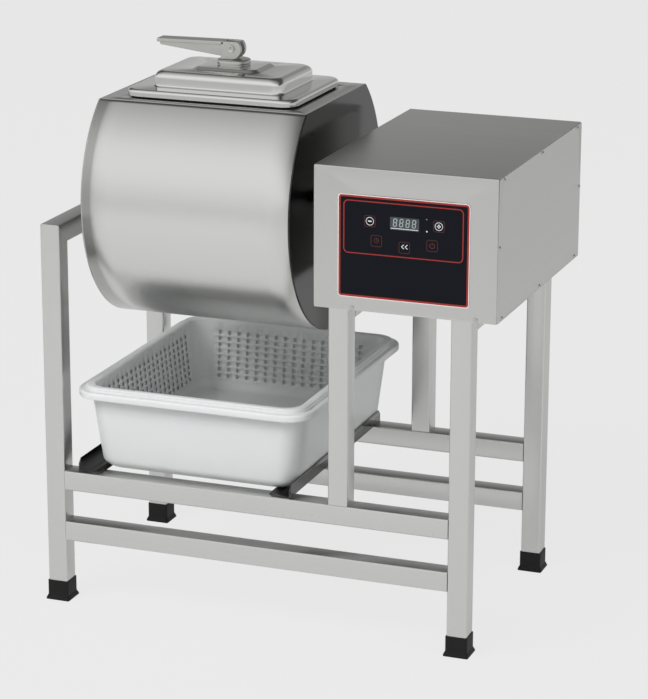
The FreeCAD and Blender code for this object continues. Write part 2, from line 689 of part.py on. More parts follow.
def bearings():
    """Both pillow blocks, their bolts, and the pedestal under the right one."""
    pillow_block("left_bearing_housing", bearing_left_x, axis_y, beam_top)
    pillow_block("right_bearing_housing", bearing_right_x, axis_y, beam_top)
    bolt = hex_bolt(bearing_bolt, bearing_foot + tube_wall + 8.0)
    spots = [(x, axis_y + bolt_spacing * (side / 2)) for x in (bearing_left_x, bearing_right_x) for side in (-1, 1)]
    solid_node("bearing_bolts", Part.makeCompound([moved(bolt, x, y, beam_top + bearing_foot) for x, y in spots]))
    pedestal = body("bearing_pedestal")
    half, t = bearing_length / 2 + 4.0, pedestal_sheet
    rise = beam_top - floor_z
    toe = bearing_foot * 2
    on = sketch(pedestal, "YZ_Plane", -pedestal_width / 2)
    outline(on, [(-half - toe, 0), (-half + t, 0), (-half + t, rise - t), (half - t, rise - t), (half - t, 0),
                 (half + toe, 0), (half + toe, t), (half, t), (half, rise), (-half, rise), (-half, t),
                 (-half - toe, t)])
    pad(pedestal, on, pedestal_width)
    holes = sketch(pedestal, "XY_Plane", rise)
    for side in (-1, 1):
        circle(holes, 0, bolt_spacing * (side / 2), bearing_bolt + hole_clearance)
    pocket(pedestal, holes, t * 1.5)
    place(pedestal, bearing_right_x, axis_y, floor_z)


# ---------------------------------------------------------------- drum

def drum_shell():
    """The rolled shell: round with a flat top, and a mouth with round corners in the flat."""
    made = body("drum_shell")
    on = sketch(made, "YZ_Plane")
    flat_topped(on, drum_radius, flat_height)
    flat_topped(on, drum_radius - shell_wall, flat_height - shell_wall)
    pad(made, on, drum_length - end_wall * 2)
    mouth = sketch(made, "XY_Plane", flat_height + shell_wall)
    middle = drum_length / 2 - end_wall
    grow = neck_wall
    rounded(mouth, middle - mouth_length / 2 - grow, -mouth_width / 2 - grow,
            middle + mouth_length / 2 + grow, mouth_width / 2 + grow, mouth_corner + grow)
    pocket(made, mouth, shell_wall * 4)
    place(made, drum_left + end_wall, axis_y, axis_z)


def drum_end(name, x, bore):
    """A flat end plate with the shell's outline and a hole for the shaft's spigot."""
    made = body(name)
    on = sketch(made, "YZ_Plane")
    flat_topped(on, drum_radius, flat_height)
    if bore is not None:
        circle(on, 0, 0, bore)
    pad(made, on, end_wall)
    holes = sketch(made, "YZ_Plane", end_wall * 2)
    for i in range(6):
        angle = math.radians(60 * i + 30)
        circle(holes, hub_bolt_circle * math.cos(angle), hub_bolt_circle * math.sin(angle), hub_bolt + fit_clearance)
    pocket(made, holes)
    place(made, x, axis_y, axis_z)


def mouth_neck():
    """The welded rectangular neck that stiffens the mouth."""
    made = body("mouth_neck")
    on = sketch(made, "XY_Plane")
    for grow in (neck_wall, 0.0):
        rounded(on, -mouth_length / 2 - grow, -mouth_width / 2 - grow,
                mouth_length / 2 + grow, mouth_width / 2 + grow, mouth_corner + grow)
    pad(made, on, neck_depth + shell_wall)
    place(made, drum_mid, axis_y, keeper_z)


def clamp_keepers():
    """Two blocks under the mouth's long edges, which the clamp bar's ends draw up against."""
    y = mouth_width / 2 + neck_wall
    one = block(keeper_length, keeper_width, neck_depth, -keeper_length / 2, y, 0)
    one = one.makeChamfer(3.0, [edge for edge in one.Edges if level(edge, 0) and along(edge, "y")])
    pair = [moved(one, drum_mid, axis_y, keeper_z), moved(one, drum_mid, axis_y, keeper_z, 180, (0, 0, 1))]
    solid_node("clamp_keepers", Part.makeCompound(pair))


def mixing_paddles():
    """Three bent strips along the inside of the shell that lift and turn the meat."""
    length = float(drum_length - end_wall * 2 - paddle_inset * 2)
    base = float(drum_radius - shell_wall)
    t, rise, lip = float(paddle_sheet), float(paddle_height), float(paddle_lip)
    foot = math.sqrt(base * base - t * t / 4) - 0.02
    slope = lip * math.sqrt(0.5)
    profile = [(-t / 2, -foot), (t / 2, -foot), (t / 2, -foot + rise), (t / 2 + slope, -foot + rise + slope),
               (t / 2 + slope - t * 0.7, -foot + rise + slope + t * 0.7), (-t / 2, -foot + rise + t * 0.42)]
    wire = Part.makePolygon([Vector(0, u, v) for u, v in profile + profile[:1]])
    strip = Part.Face(wire).extrude(Vector(length, 0, 0))
    strips = [moved(moved(strip, turn=turn), drum_left + end_wall + paddle_inset, axis_y, axis_z)
              for turn in (0, 110, -110)]
    solid_node("mixing_paddles", Part.makeCompound(strips))


def shaft_profile(length, bore):
    """Half of a flanged shaft: flange, boss and shaft, stepped along the sketch's first axis."""
    boss_end = hub_thickness + hub_boss_length
    return [(0, bore), (0, hub_radius), (hub_thickness - 1.0, hub_radius), (hub_thickness, hub_radius - 1.0),
            (hub_thickness, hub_boss), (boss_end, hub_boss), (boss_end, shaft_radius),
            (length - 1.0, shaft_radius), (length, shaft_radius - 1.0), (length, bore)]


def hub_holes(owner):
    """Six bolt holes through a shaft's flange."""
    holes = sketch(owner, "YZ_Plane", hub_thickness * 2)
    for i in range(6):
        angle = math.radians(60 * i + 30)
        circle(holes, hub_bolt_circle * math.cos(angle), hub_bolt_circle * math.sin(angle), hub_bolt + fit_clearance)
    pocket(owner, holes)


def drum_shafts():
    """The left stub shaft, the hollow drive shaft, their bolts and the bearings' inner rings."""
    left = body("left_trunnion")
    turned(left, "XZ_Plane", shaft_profile(drum_left - left_x - shaft_end_inset, 0.0), "H_Axis")
    hub_holes(left)
    left.Placement = FreeCAD.Placement(Vector(0, 0, 0), FreeCAD.Rotation(Vector(0, 0, 1), 180))
    place(left, drum_left, axis_y, axis_z)
    right = body("drive_shaft")
    turned(right, "XZ_Plane", shaft_profile(union_x + union_length - 6.0 - drum_right, vacuum_bore), "H_Axis")
    hub_holes(right)
    place(right, drum_right, axis_y, axis_z)
    reach = float(hub_thickness + end_wall) + 7.0
    bolt = hex_bolt(hub_bolt, reach)
    nut = moved(hexagon(hub_bolt * 3.4, 5.0), z=-reach + 1.5)
    bolt = bolt.fuse(nut).removeSplitter()
    bolts = []
    for i in range(6):
        angle = math.radians(60 * i + 30)
        y = axis_y + hub_bolt_circle * math.cos(angle)
        z = axis_z + hub_bolt_circle * math.sin(angle)
        bolts.append(moved(bolt, drum_right + hub_thickness, y, z, 90, (0, 1, 0)))
        bolts.append(moved(bolt, drum_left - hub_thickness, y, z, -90, (0, 1, 0)))
    solid_node("hub_bolts", Part.makeCompound(bolts))
    ring = rod(bearing_race - race_gap, inner_ring_width, axis=(1, 0, 0))
    ring = ring.cut(rod(shaft_radius + fit_clearance, inner_ring_width, axis=(1, 0, 0)))
    rings = [moved(ring, x - inner_ring_width / 2, axis_y, axis_z) for x in (bearing_left_x, bearing_right_x)]
    solid_node("bearing_inner_rings", Part.makeCompound(rings))


# ---------------------------------------------------------------- gears

def involute(angle):
    """The involute function: tan of the angle, less the angle."""
    return math.tan(angle) - angle


def gear_face(teeth, bore):
    """A spur gear's face in the YZ plane, a tooth centred on +Y, its bore cut out."""
    module = float(gear_module)
    pitch = module * teeth / 2
    base = pitch * math.cos(math.radians(20))
    tip, root = pitch + module, pitch - 1.25 * module
    half = math.pi / (2 * teeth) - float(gear_backlash) / pitch
    flank = []
    for radius in (root, max(base, root), (pitch + max(base, root)) / 2, pitch, tip):
        pressure = math.acos(min(1.0, base / radius))
        flank.append((radius, half + involute(math.radians(20)) - involute(pressure)))
    if flank[0] == flank[1]:
        flank = flank[1:]
    spots = []
    for i in range(teeth):
        middle = 2 * math.pi * i / teeth
        for radius, angle in flank:
            spots.append((radius, middle - angle))
        for radius, angle in reversed(flank):
            spots.append((radius, middle + angle))
    ring = [Vector(0, r * math.cos(a), r * math.sin(a)) for r, a in spots]
    outer = Part.Face(Part.makePolygon(ring + ring[:1]))
    hole = Part.Face(Part.Wire(Part.makeCircle(float(bore), Vector(0, 0, 0), Vector(1, 0, 0))))
    return outer.cut(hole)


def gears():
    """The drum gear keyed to the drive shaft, and the pinion on the gearbox's output shaft."""
    bore = shaft_radius + fit_clearance
    wheel = gear_face(GEAR_TEETH, bore).extrude(Vector(float(gear_width), 0, 0))
    recess = rod(gear_module * 28.0, 4.0, axis=(1, 0, 0)).cut(rod(24.0, 4.0, axis=(1, 0, 0)))
    wheel = wheel.cut([recess, moved(recess, gear_width - 4.0)])
    hub = rod(20.0, 8.0, gear_width, axis=(1, 0, 0)).cut(rod(bore, 8.0, gear_width, axis=(1, 0, 0)))
    made = solid_node("drum_gear", wheel.fuse(hub).removeSplitter())
    place(made, gear_x, axis_y, axis_z)
    pitch_turn = 180.0 / PINION_TEETH
    small = gear_face(PINION_TEETH, output_radius + fit_clearance).extrude(Vector(float(pinion_width), 0, 0))
    made = solid_node("pinion", moved(small, turn=pitch_turn))
    place(made, gear_x - (pinion_width - gear_width) / 2, pinion_y, axis_z)
    shaft = body("output_shaft")
    tail = plate_thickness + 20.0
    length = pinion_width + plate_gap + tail
    turned(shaft, "XZ_Plane", [(0, 0), (0, output_radius - 1.0), (1.0, output_radius),
                               (length, output_radius), (length, 0)], "H_Axis")
    place(shaft, gear_x - (pinion_width - gear_width) / 2, pinion_y, axis_z)


# ---------------------------------------------------------------- lid and clamp

def lid():
    """The pressed lid: a rounded rim, a shelf, a dome and a raised pad, hollow underneath."""
    made = body("lid_cover")
    a, b, r, t = lid_length / 2, lid_width / 2, lid_corner, lid_sheet
    shelf, edge_round = lid_shelf, lid_rim * 0.45
    rim = sketch(made, "XY_Plane")
    rounded(rim, -a, -b, a, b, r)
    pad(made, rim, lid_rim)
    dome = sketch(made, "XY_Plane")
    rounded(dome, -a + shelf, -b + shelf, a - shelf, b - shelf, r)
    pad(made, dome, lid_height)
    top = sketch(made, "XY_Plane", lid_height - t)
    rounded(top, -pad_length / 2, -pad_width / 2, pad_length / 2, pad_width / 2, pad_corner)
    pad(made, top, pad_height + t)
    under = sketch(made, "XY_Plane")
    rounded(under, -a + t, -b + t, a - t, b - t, r - t)
    pocket(made, under, lid_rim - t, backwards=True)
    hollow = sketch(made, "XY_Plane")
    rounded(hollow, -a + shelf + t, -b + shelf + t, a - shelf - t, b - shelf - t, r - t)
    pocket(made, hollow, lid_height - t, backwards=True)
    dress(made, "Fillet", lid_rim - t, lambda edge: level(edge, lid_height - t))
    dress(made, "Fillet", edge_round - t, lambda edge: level(edge, lid_rim - t) and not inside_shelf(edge))
    dress(made, "Fillet", edge_round, lambda edge: level(edge, lid_rim) and not inside_shelf(edge))
    dress(made, "Fillet", lid_rim, lambda edge: level(edge, lid_height) and not near_axis(edge))
    dress(made, "Fillet", lid_rim * 0.3, lambda edge: level(edge, lid_rim) and inside_shelf(edge))
    dress(made, "Fillet", pad_height * 0.4, lambda edge: level(edge, lid_height + pad_height))
    hole = sketch(made, "XY_Plane")
    circle(hole, 0, 0, collar_hub + running_clearance)
    pocket(made, hole, backwards=True)
    place(made, drum_mid, axis_y, lid_z)
    seal = body("lid_gasket")
    on = sketch(seal, "XY_Plane")
    i, w = gasket_inset, gasket_width
    rounded(on, -a + i, -b + i, a - i, b - i, r - i)
    rounded(on, -a + i + w, -b + i + w, a - i - w, b - i - w, r - i - w)
    pad(seal, on, gasket_height + lid_rim - lid_sheet)
    place(seal, drum_mid, axis_y, flat_z)


def inside_shelf(edge):
    """Whether an edge of the lid belongs to the foot of its dome."""
    box = edge.BoundBox
    wide = max(abs(box.XMin), abs(box.XMax))
    deep = max(abs(box.YMin), abs(box.YMax))
    limit = float(lid_shelf) - 0.5
    return wide < float(lid_length) / 2 - limit and deep < float(lid_width) / 2 - limit


def near_axis(edge):
    """Whether an edge lies close round the lid's middle."""
    box = edge.BoundBox
    return max(abs(box.XMin), abs(box.XMax), abs(box.YMin), abs(box.YMax)) < float(pad_width) * 0.75


def lid_clamp():
    """The collar, the stud with its bar, and the cam lever on its pin."""
    collar = body("clamp_collar")
    bore, h = stud_radius + running_clearance, collar_height
    hub_end = -(pad_height + lid_sheet + 12.0)
    turned(collar, "XZ_Plane", [(bore, hub_end), (collar_hub, hub_end), (collar_hub, 0), (collar_radius - 1.5, 0),
                                (collar_radius - 1.5, h * 0.22), (collar_radius, h * 0.22),
                                (collar_radius, h - 1.2), (collar_radius - 1.2, h), (bore, h)], "V_Axis")
    place(collar, drum_mid, axis_y, collar_z)

    stud = body("clamp_stud")
    top_of_collar = collar_z + collar_height
    blade_foot = top_of_collar + cam_throw + 1.5 - pivot_z
    blade = sketch(stud, "XZ_Plane", -blade_width / 2)
    rectangle(blade, -10.0, blade_foot, 10.0, 0)
    pad(stud, blade, blade_width)
    crown = sketch(stud, "XZ_Plane", -blade_width / 2)
    circle(crown, 0, 0, 10.0)
    pad(stud, crown, blade_width)
    bar_top = keeper_z - bar_play
    shoulder = -(cam_low + cam_gap)
    neck = sketch(stud, "XY_Plane", blade_foot)
    circle(neck, 0, 0, blade_width / 2)
    pad(stud, neck, blade_foot - shoulder, backwards=True)
    shank = sketch(stud, "XY_Plane", shoulder)
    circle(shank, 0, 0, stud_radius)
    pad(stud, shank, pivot_z + shoulder - bar_top, backwards=True)
    thread = sketch(stud, "XY_Plane", bar_top - pivot_z)
    circle(thread, 0, 0, stud_thread)
    pad(stud, thread, bar_height + stud_thread * 2.2, backwards=True)
    eye = sketch(stud, "XZ_Plane", blade_width)
    circle(eye, 0, 0, pin_radius + fit_clearance)
    pocket(stud, eye)
    place(stud, drum_mid, axis_y, pivot_z)

    bar = body("clamp_bar")
    on = sketch(bar, "XY_Plane")
    rectangle(on, -bar_length / 2, -bar_width / 2, bar_length / 2, bar_width / 2)
    circle(on, 0, 0, stud_thread + fit_clearance)
    pad(bar, on, bar_height)
    dress(bar, "Fillet", bar_width * 0.3, lambda edge: along(edge, "z"))
    place(bar, drum_mid, axis_y, bar_top - bar_height)
    nut = hexagon(stud_thread * 3.1, stud_thread * 1.6).cut(rod(stud_thread + fit_clearance, 40))
    made = solid_node("bar_nut", nut)
    place(made, drum_mid, axis_y, bar_top - bar_height - stud_thread * 1.6)

    cheek_half = blade_width / 2 + blade_play
    pin = rod(pin_radius, lever_width + 7.0, y=-lever_width / 2 - 0.2, axis=(0, 1, 0))
    head = rod(pin_radius * 1.62, 2.6, y=-lever_width / 2 - 0.2 - 2.6, axis=(0, 1, 0))
    socket = moved(hexagon(pin_radius * 1.3, 1.8), y=-lever_width / 2 - 2.8, turn=-90)
    locknut = moved(hexagon(pin_radius * 3.2, 4.0), y=lever_width / 2 + 0.3, turn=-90)
    made = solid_node("pivot_pin", pin.fuse([head, locknut]).cut(socket).removeSplitter())
    place(made, drum_mid, axis_y, pivot_z)
    cam_lever(cheek_half)


def cam_lever(cheek_half):
    """The cast lever: a wide flat top over a tapering web, and two cheeks that form the cam."""
    made = body("cam_lever")
    half, rise, back = lever_width / 2, lever_rise, cheek_back
    cam = sketch(made, "XZ_Plane", -half)
    circle(cam, 0, -cam_throw, cam_low - cam_throw)
    pad(made, cam, lever_width)
    cheek = sketch(made, "XZ_Plane", -half)
    rectangle(cheek, -back, -cam_low, 0, rise)
    pad(made, cheek, lever_width)
    trim = sketch(made, "XZ_Plane", -half)
    rectangle(trim, -back - 1.0, rise, back + 1.0, rise + 8.0)
    pocket(made, trim, lever_width, backwards=True)
    plate = sketch(made, "XZ_Plane", -half)
    outline(plate, [(-lever_length, rise - 2.0), (-lever_length, rise - 2.0 - lever_top), (-back, rise - lever_top),
                    (-back, rise)])
    pad(made, plate, lever_width)
    web = sketch(made, "XZ_Plane", -lever_web / 2)
    outline(web, [(-lever_length + 6.0, rise - 2.0 - lever_top), (-back, rise - lever_top),
                  (-back, -cam_low + 5.0)])
    pad(made, web, lever_web)
    dress(made, "Fillet", 5.0, lambda edge: along(edge, "y") is False and along(edge, "z")
          and abs(edge_box(edge)[0] + float(lever_length)) < 0.1)
    slot = sketch(made, "XZ_Plane", -cheek_half)
    rectangle(slot, -15.0, -cam_low - 5.0, back + 10.0, rise + 5.0)
    pocket(made, slot, cheek_half * 2, backwards=True)
    eye = sketch(made, "XZ_Plane", lever_width)
    circle(eye, 0, 0, pin_radius + running_clearance)
    pocket(made, eye)
    place(made, drum_mid, axis_y, pivot_z)


# ---------------------------------------------------------------- tray and basket

def tray_walls(inset, bottom, top):
    """The tray's tapering sides, drawn in by an inset, as a solid between two heights."""
    length = tray_length - tray_rim * 2 - inset * 2
    depth = tray_depth - tray_rim * 2 - inset * 2
    corner = tray_corner - tray_rim
    foot = float(tray_foot_radius)
    lean = float(tray_taper)
    rows = []
    for share in (1.0, 0.62, 0.3, 0.08, 0.0):
        shrink = foot * (1 - math.sqrt(1 - share * share)) if share < 1 else foot * 0.72
        height = float(bottom) + foot * (1 - share)
        slope = 2 * lean * (float(tray_height) - (height - float(bottom))) / float(tray_height)
        rows.append((float(length) - slope - 2 * shrink, float(depth) - slope - 2 * shrink,
                     max(4.0, float(corner) - float(inset) + 6.0), height))
    rows.append((float(length), float(depth), max(4.0, float(corner) - float(inset) + 6.0), float(top)))
    return tub(rows)


def ring_slab(length, depth, corner, width, z, height):
    """A flat rounded-rectangle ring."""
    outer = tub([(length, depth, corner, z), (length, depth, corner, float(z) + float(height))])
    inner = tub([(length - 2 * width, depth - 2 * width, corner - width, float(z) - 1),
                 (length - 2 * width, depth - 2 * width, corner - width, float(z) + float(height) + 1)])
    return outer.cut(inner)


def tray():
    """The moulded tray: thin tapering walls, a rounded foot and a turned-down rim."""
    top, t, rim = float(tray_height), float(tray_wall), float(tray_rim)
    outer = tray_walls(0.0, 0.0, top)
    inner = tray_walls(t, t, top + 1)
    length, depth, corner = float(tray_length), float(tray_depth), float(tray_corner)
    shelf = ring_slab(length, depth, corner, rim + t / 2, top - t, t)
    lip = ring_slab(length, depth, corner, t, top - float(tray_lip), float(tray_lip))
    step = ring_slab(length - rim, depth - rim, corner - rim / 2, t, top, 4.0)
    shape = outer.cut(inner).fuse([shelf, lip, step]).removeSplitter()
    made = solid_node("drip_tray", shape)
    place(made, drum_mid + tray_skew, tray_mid_y, tray_z)


def basket():
    """The draining basket that hangs in the tray by its rim, its walls full of slots."""
    top, t = float(tray_height), float(tray_wall)
    gap = float(tray_wall + basket_play)
    base = float(basket_floor)
    outer = tray_walls(gap, base, top)
    inner = tray_walls(gap + t, base + t, top + 1)
    rim_length = float(tray_length) - float(tray_rim) - 2 * t - 2.0
    rim_depth = float(tray_depth) - float(tray_rim) - 2 * t - 2.0
    corner = float(tray_corner) - float(tray_rim) / 2 - t - 1.0
    rim_width = (rim_length - (float(tray_length) - 2 * float(tray_rim) - 2 * gap)) / 2 + t / 2
    shelf = ring_slab(rim_length, rim_depth, corner, rim_width, top + float(seat_gap), t)
    neck = ring_slab(float(tray_length) - 2 * float(tray_rim) - 2 * gap,
                     float(tray_depth) - 2 * float(tray_rim) - 2 * gap,
                     float(tray_corner) - float(tray_rim) - gap + 6.0, t, top - 1.0, t + 1.0 + float(seat_gap))
    bead = ring_slab(rim_length, rim_depth, corner, t, top + float(seat_gap), float(basket_bead))
    shape = outer.cut(inner).fuse([shelf, neck, bead]).removeSplitter()
    shape = shape.cut(Part.makeCompound(basket_slots(base, top)))
    made = solid_node("draining_basket", shape)
    place(made, drum_mid + tray_skew, tray_mid_y, tray_z)


def basket_slots(base, top):
    """Boxes that cut the slots: rows on the four walls and a grid through the floor."""
    length = float(tray_length) - 2 * float(tray_rim)
    depth = float(tray_depth) - 2 * float(tray_rim)
    w, h, pitch = float(slot_width), float(slot_height), float(slot_pitch)
    rows = [base + 34 + row * (h + 12) for row in range(3)]
    slots = []
    reach = 60.0
    for across in spread(length * 0.62, pitch):
        for z in rows:
            slots.append(block(w, reach, h, across - w / 2, -depth / 2 - reach / 2, z))
            slots.append(block(w, reach, h, across - w / 2, depth / 2 - reach / 2, z))
    for across in spread(depth * 0.68, pitch):
        for z in rows:
            slots.append(block(reach, w, h, -length / 2 - reach / 2, across - w / 2, z))
            slots.append(block(reach, w, h, length / 2 - reach / 2, across - w / 2, z))
    for x in spread(length * 0.6, pitch * 2.5):
        for y in spread(depth * 0.7, pitch * 2.5):
            slots.append(block(h, h, 12, x - h / 2, y - h / 2, base - 4))
    return slots


def spread(span, pitch):
    """Evenly spaced places about zero, as many as the span holds."""
    count = int(span // pitch)
    return [(i - (count - 1) / 2) * pitch for i in range(count)]


# ---------------------------------------------------------------- housing

def u_outline(on, depth, height, foot, wall):
    """An upside-down U: front, top and rear walls of one thickness, standing on a level."""
    outline(on, [(0, foot), (wall, foot), (wall, height - wall), (depth - wall, height - wall),
                 (depth - wall, foot), (depth, foot), (depth, height), (0, height)])


def housing_wrap():
    """One folded sheet for the front, top and rear, with flanges turned in at both ends."""
    made = body("housing_wrap")
    length = housing_length - sheet * 2
    on = sketch(made, "YZ_Plane")
    u_outline(on, housing_depth, housing_height, 0, sheet)
    pad(made, on, length)
    dress(made, "Fillet", bend, lambda edge: along(edge, "x") and level(edge, housing_height))
    dress(made, "Fillet", bend - sheet, lambda edge: along(edge, "x") and level(edge, housing_height - sheet))
    for offset in (0.0, length - sheet):
        end = sketch(made, "YZ_Plane", offset)
        low, top = flange + 3.0, housing_height - sheet * 0.5
        near, far = sheet * 0.5, housing_depth - sheet * 0.5
        outline(end, [(near, low), (flange, low), (flange, housing_height - flange),
                      (housing_depth - flange, housing_height - flange), (housing_depth - flange, low),
                      (far, low), (far, top - bend), (far - bend, top), (near + bend, top), (near, top - bend)])
        pad(made, end, sheet)
    window = sketch(made, "XZ_Plane")
    left = overlay_x + window_x - sheet
    base = overlay_z + window_z
    c = hole_clearance
    rectangle(window, left - c, base - c, left + window_length + c, base + window_height + c)
    pocket(made, window, sheet * 2)
    feet = sketch(made, "XZ_Plane")
    for x in front_screws():
        circle(feet, x - housing_left - sheet, screw_foot, screw_shank + hole_clearance)
    pocket(made, feet, sheet * 2)
    rear = sketch(made, "XZ_Plane", -housing_depth)
    circle(rear, length - gland_x + sheet, gland_z, gland_radius + hole_clearance)
    for row in range(5):
        for column in range(4):
            x = length * 0.16 + column * 58.0
            z = housing_height * 0.5 + row * 14.0
            rectangle(rear, x, z, x + 40.0, z + 4.0)
    pocket(made, rear, sheet * 2, backwards=True)
    holes = sketch(made, "YZ_Plane", length + sheet)
    for y, z in side_screws():
        if float(z) > float(flange) + 8:
            circle(holes, y - housing_front, z - housing_base, screw_shank + hole_clearance)
    pocket(made, holes)
    place(made, housing_left + sheet, housing_front, housing_base)


def front_screws():
    """Places along X of the two screws low on the housing's front."""
    return [housing_left + overlay_x + overlay_corner * 3.8, housing_right - overlay_x + overlay_corner]


def side_screws():
    """Places (y, z) of the eight screws round a side panel."""
    near, far = housing_front + screw_corner, housing_rear - screw_corner
    middle = housing_front + housing_depth / 2
    spots = [(y, z) for z in (housing_top - screw_edge, housing_base + screw_foot) for y in (near, middle, far)]
    edge = screw_edge + 1.0
    return spots + [(housing_front + edge, axis_z), (housing_rear - edge, axis_z)]


def side_panel(name, x, open_for_shaft):
    """A flat side panel with its screw holes."""
    made = body(name)
    on = sketch(made, "YZ_Plane")
    rounded(on, sheet, 0, housing_depth - sheet, housing_height - sheet, bend)
    for y, z in side_screws():
        circle(on, y - housing_front, z - housing_base, screw_shank + hole_clearance)
    if open_for_shaft:
        circle(on, axis_y - housing_front, axis_z - housing_base, shaft_opening)
    pad(made, on, sheet)
    place(made, x, housing_front, housing_base)


def housing():
    """The folded sheet, its side panels and floor, and the screws that hold them."""
    housing_wrap()
    side_panel("housing_side_left", housing_left, True)
    side_panel("housing_side_right", housing_right - sheet, False)
    floor = body("housing_floor")
    length, depth = housing_length - sheet * 2, housing_depth - sheet * 2
    on = sketch(floor, "XY_Plane")
    rectangle(on, 0, 0, length, depth)
    pad(floor, on, flange)
    inside = sketch(floor, "XY_Plane", sheet)
    rectangle(inside, sheet, sheet, length - sheet, depth - sheet)
    pocket(floor, inside, backwards=True)
    sides = sketch(floor, "YZ_Plane", length + sheet)
    for y, z in side_screws():
        if float(z) < float(housing_base + flange):
            circle(sides, y - housing_front - sheet, z - housing_base, screw_shank + hole_clearance)
    pocket(floor, sides)
    feet = sketch(floor, "XZ_Plane")
    for x in front_screws():
        circle(feet, x - housing_left - sheet, screw_foot, screw_shank + hole_clearance)
    pocket(floor, feet, sheet * 2)
    place(floor, housing_left + sheet, housing_front + sheet, housing_base)
    screws = []
    for y, z in side_screws():
        screws.append(moved(panel_screw(), housing_right, y, z, 90, (0, 1, 0)))
        screws.append(moved(panel_screw(), housing_left, y, z, -90, (0, 1, 0)))
    for x in front_screws():
        screws.append(moved(panel_screw(), x, housing_front, housing_base + screw_foot, 90, (1, 0, 0)))
    solid_node("panel_screws", Part.makeCompound(screws))


def panel_screw():
    """A pan-head screw: a low dome with a cross recess over a plain shank."""
    rise, r = float(screw_rise), float(screw_head)
    crown = (r * r + rise * rise) / (2 * rise)
    dome = Part.makeSphere(crown, Vector(0, 0, rise - crown)).common(rod(r, rise * 1.2))
    slot = block(r * 1.1, r * 0.24, rise, -r * 0.55, -r * 0.12, rise * 0.45)
    cross = slot.fuse(moved(slot, turn=90, axis=(0, 0, 1)))
    return dome.fuse(rod(screw_shank, screw_reach, z=-screw_reach)).cut(cross).removeSplitter()


def controls():
    """The keypad overlay, the display behind its window, the control board and the gland."""
    overlay = body("keypad_overlay")
    on = sketch(overlay, "XZ_Plane")
    rounded(on, 0, 0, overlay_length, overlay_height, overlay_corner)
    rectangle(on, window_x, window_z, window_x + window_length, window_z + window_height)
    pad(overlay, on, overlay_sheet)
    left, base = housing_left + overlay_x, housing_base + overlay_z
    place(overlay, left, housing_front, base)

    display = body("display_module")
    on = sketch(display, "XZ_Plane")
    inset = fit_clearance
    rectangle(on, inset, inset, window_length - inset, window_height - inset)
    pad(display, on, display_depth, backwards=True)
    face = housing_front - overlay_sheet + display_recess
    place(display, left + window_x, face, base + window_z)

    board = body("control_board")
    on = sketch(board, "XZ_Plane")
    rectangle(on, 0, 0, board_length, board_height)
    pad(board, on, board_sheet, backwards=True)
    posts = sketch(board, "XZ_Plane")
    for x in (board_sheet * 5, board_length - board_sheet * 5):
        for z in (board_sheet * 5, board_height - board_sheet * 5):
            circle(posts, x, z, screw_head)
    pad(board, posts, face + display_depth - housing_front - sheet)
    middle = left + overlay_length / 2
    place(board, middle - board_length / 2, face + display_depth, base + overlay_height - board_height - flange)

    r = gland_radius
    thread = rod(r, 16.0, y=-13.0, axis=(0, 1, 0))
    collar = moved(hexagon(r * 2.3, 6.0), y=0, turn=-90)
    cap = rod(r * 1.05, 13.0, y=6.0, axis=(0, 1, 0))
    cap = cap.makeFillet(2.5, [edge for edge in cap.Edges if edge.BoundBox.YMin > 18.9])
    nut = moved(hexagon(r * 2.3, 5.0).cut(rod(r - 0.5, 9)), y=-5.0 - float(sheet), turn=-90)
    shape = thread.fuse([collar, cap, nut]).cut(rod(gland_bore, 60, y=-30, axis=(0, 1, 0))).removeSplitter()
    gland = solid_node("cable_gland", shape)
    place(gland, housing_right - gland_x, housing_rear, housing_base + gland_z)


# ---------------------------------------------------------------- drive and vacuum

def drive_bolt_spots():
    """Places (y, z), from the output shaft, of the four bolts that hold the gearbox."""
    reach = float(gearbox_side) / 2 - 11.0
    return [(u * reach, v * reach) for u in (-1, 1) for v in (-1, 1)]


def drive():
    """The motor plate, the gearbox and its motor, in line with the pinion."""
    plate = body("motor_plate")
    half = gearbox_side / 2 + 6.0
    drop = axis_z - floor_z
    on = sketch(plate, "YZ_Plane")
    rectangle(on, -half, -drop, half, half)
    circle(on, 0, 0, output_radius + 8.0)
    for u, v in drive_bolt_spots():
        circle(on, u, v, 3.0 + hole_clearance)
    pad(plate, on, plate_thickness)
    foot = sketch(plate, "XY_Plane", -drop)
    rectangle(foot, 0, -half, 62.0, half)
    pad(plate, foot, plate_thickness)
    place(plate, plate_x, pinion_y, axis_z)

    box = body("gearbox")
    side = gearbox_side / 2
    on = sketch(box, "YZ_Plane")
    rectangle(on, -side, -side, side, side)
    pad(box, on, gearbox_length)
    dress(box, "Fillet", 8.0, lambda edge: along(edge, "x"))
    bore = sketch(box, "YZ_Plane")
    circle(bore, 0, 0, output_radius + running_clearance)
    pocket(box, bore, 22.0, backwards=True)
    threads = sketch(box, "YZ_Plane")
    for u, v in drive_bolt_spots():
        circle(threads, u, v, 3.0 + fit_clearance)
    pocket(box, threads, 14.0, backwards=True)
    place(box, plate_x + plate_thickness, pinion_y, axis_z)

    motor = body("drive_motor")
    r, cap = motor_radius, 34.0
    shell = motor_length
    turned(motor, "XZ_Plane", [(0, 0), (0, r - 6.0), (6.0, r - 6.0), (6.0, r - 2.0), (shell - cap, r - 2.0),
                               (shell - cap, r), (shell - 4.0, r), (shell, r - 4.0), (shell, 0)], "H_Axis")
    terminal = sketch(motor, "XY_Plane")
    rectangle(terminal, 22.0, -22.0, 76.0, 22.0)
    pad(motor, terminal, r + 14.0)
    place(motor, plate_x + plate_thickness + gearbox_length, pinion_y, axis_z)

    screw = rod(3.0, 18.0, z=-18.0).fuse(rod(5.0, 6.0)).cut(moved(hexagon(5.0, 4.0), z=3.0)).removeSplitter()
    screws = [moved(screw, plate_x, pinion_y + u, axis_z + v, -90, (0, 1, 0)) for u, v in drive_bolt_spots()]
    solid_node("drive_bolts", Part.makeCompound(screws))


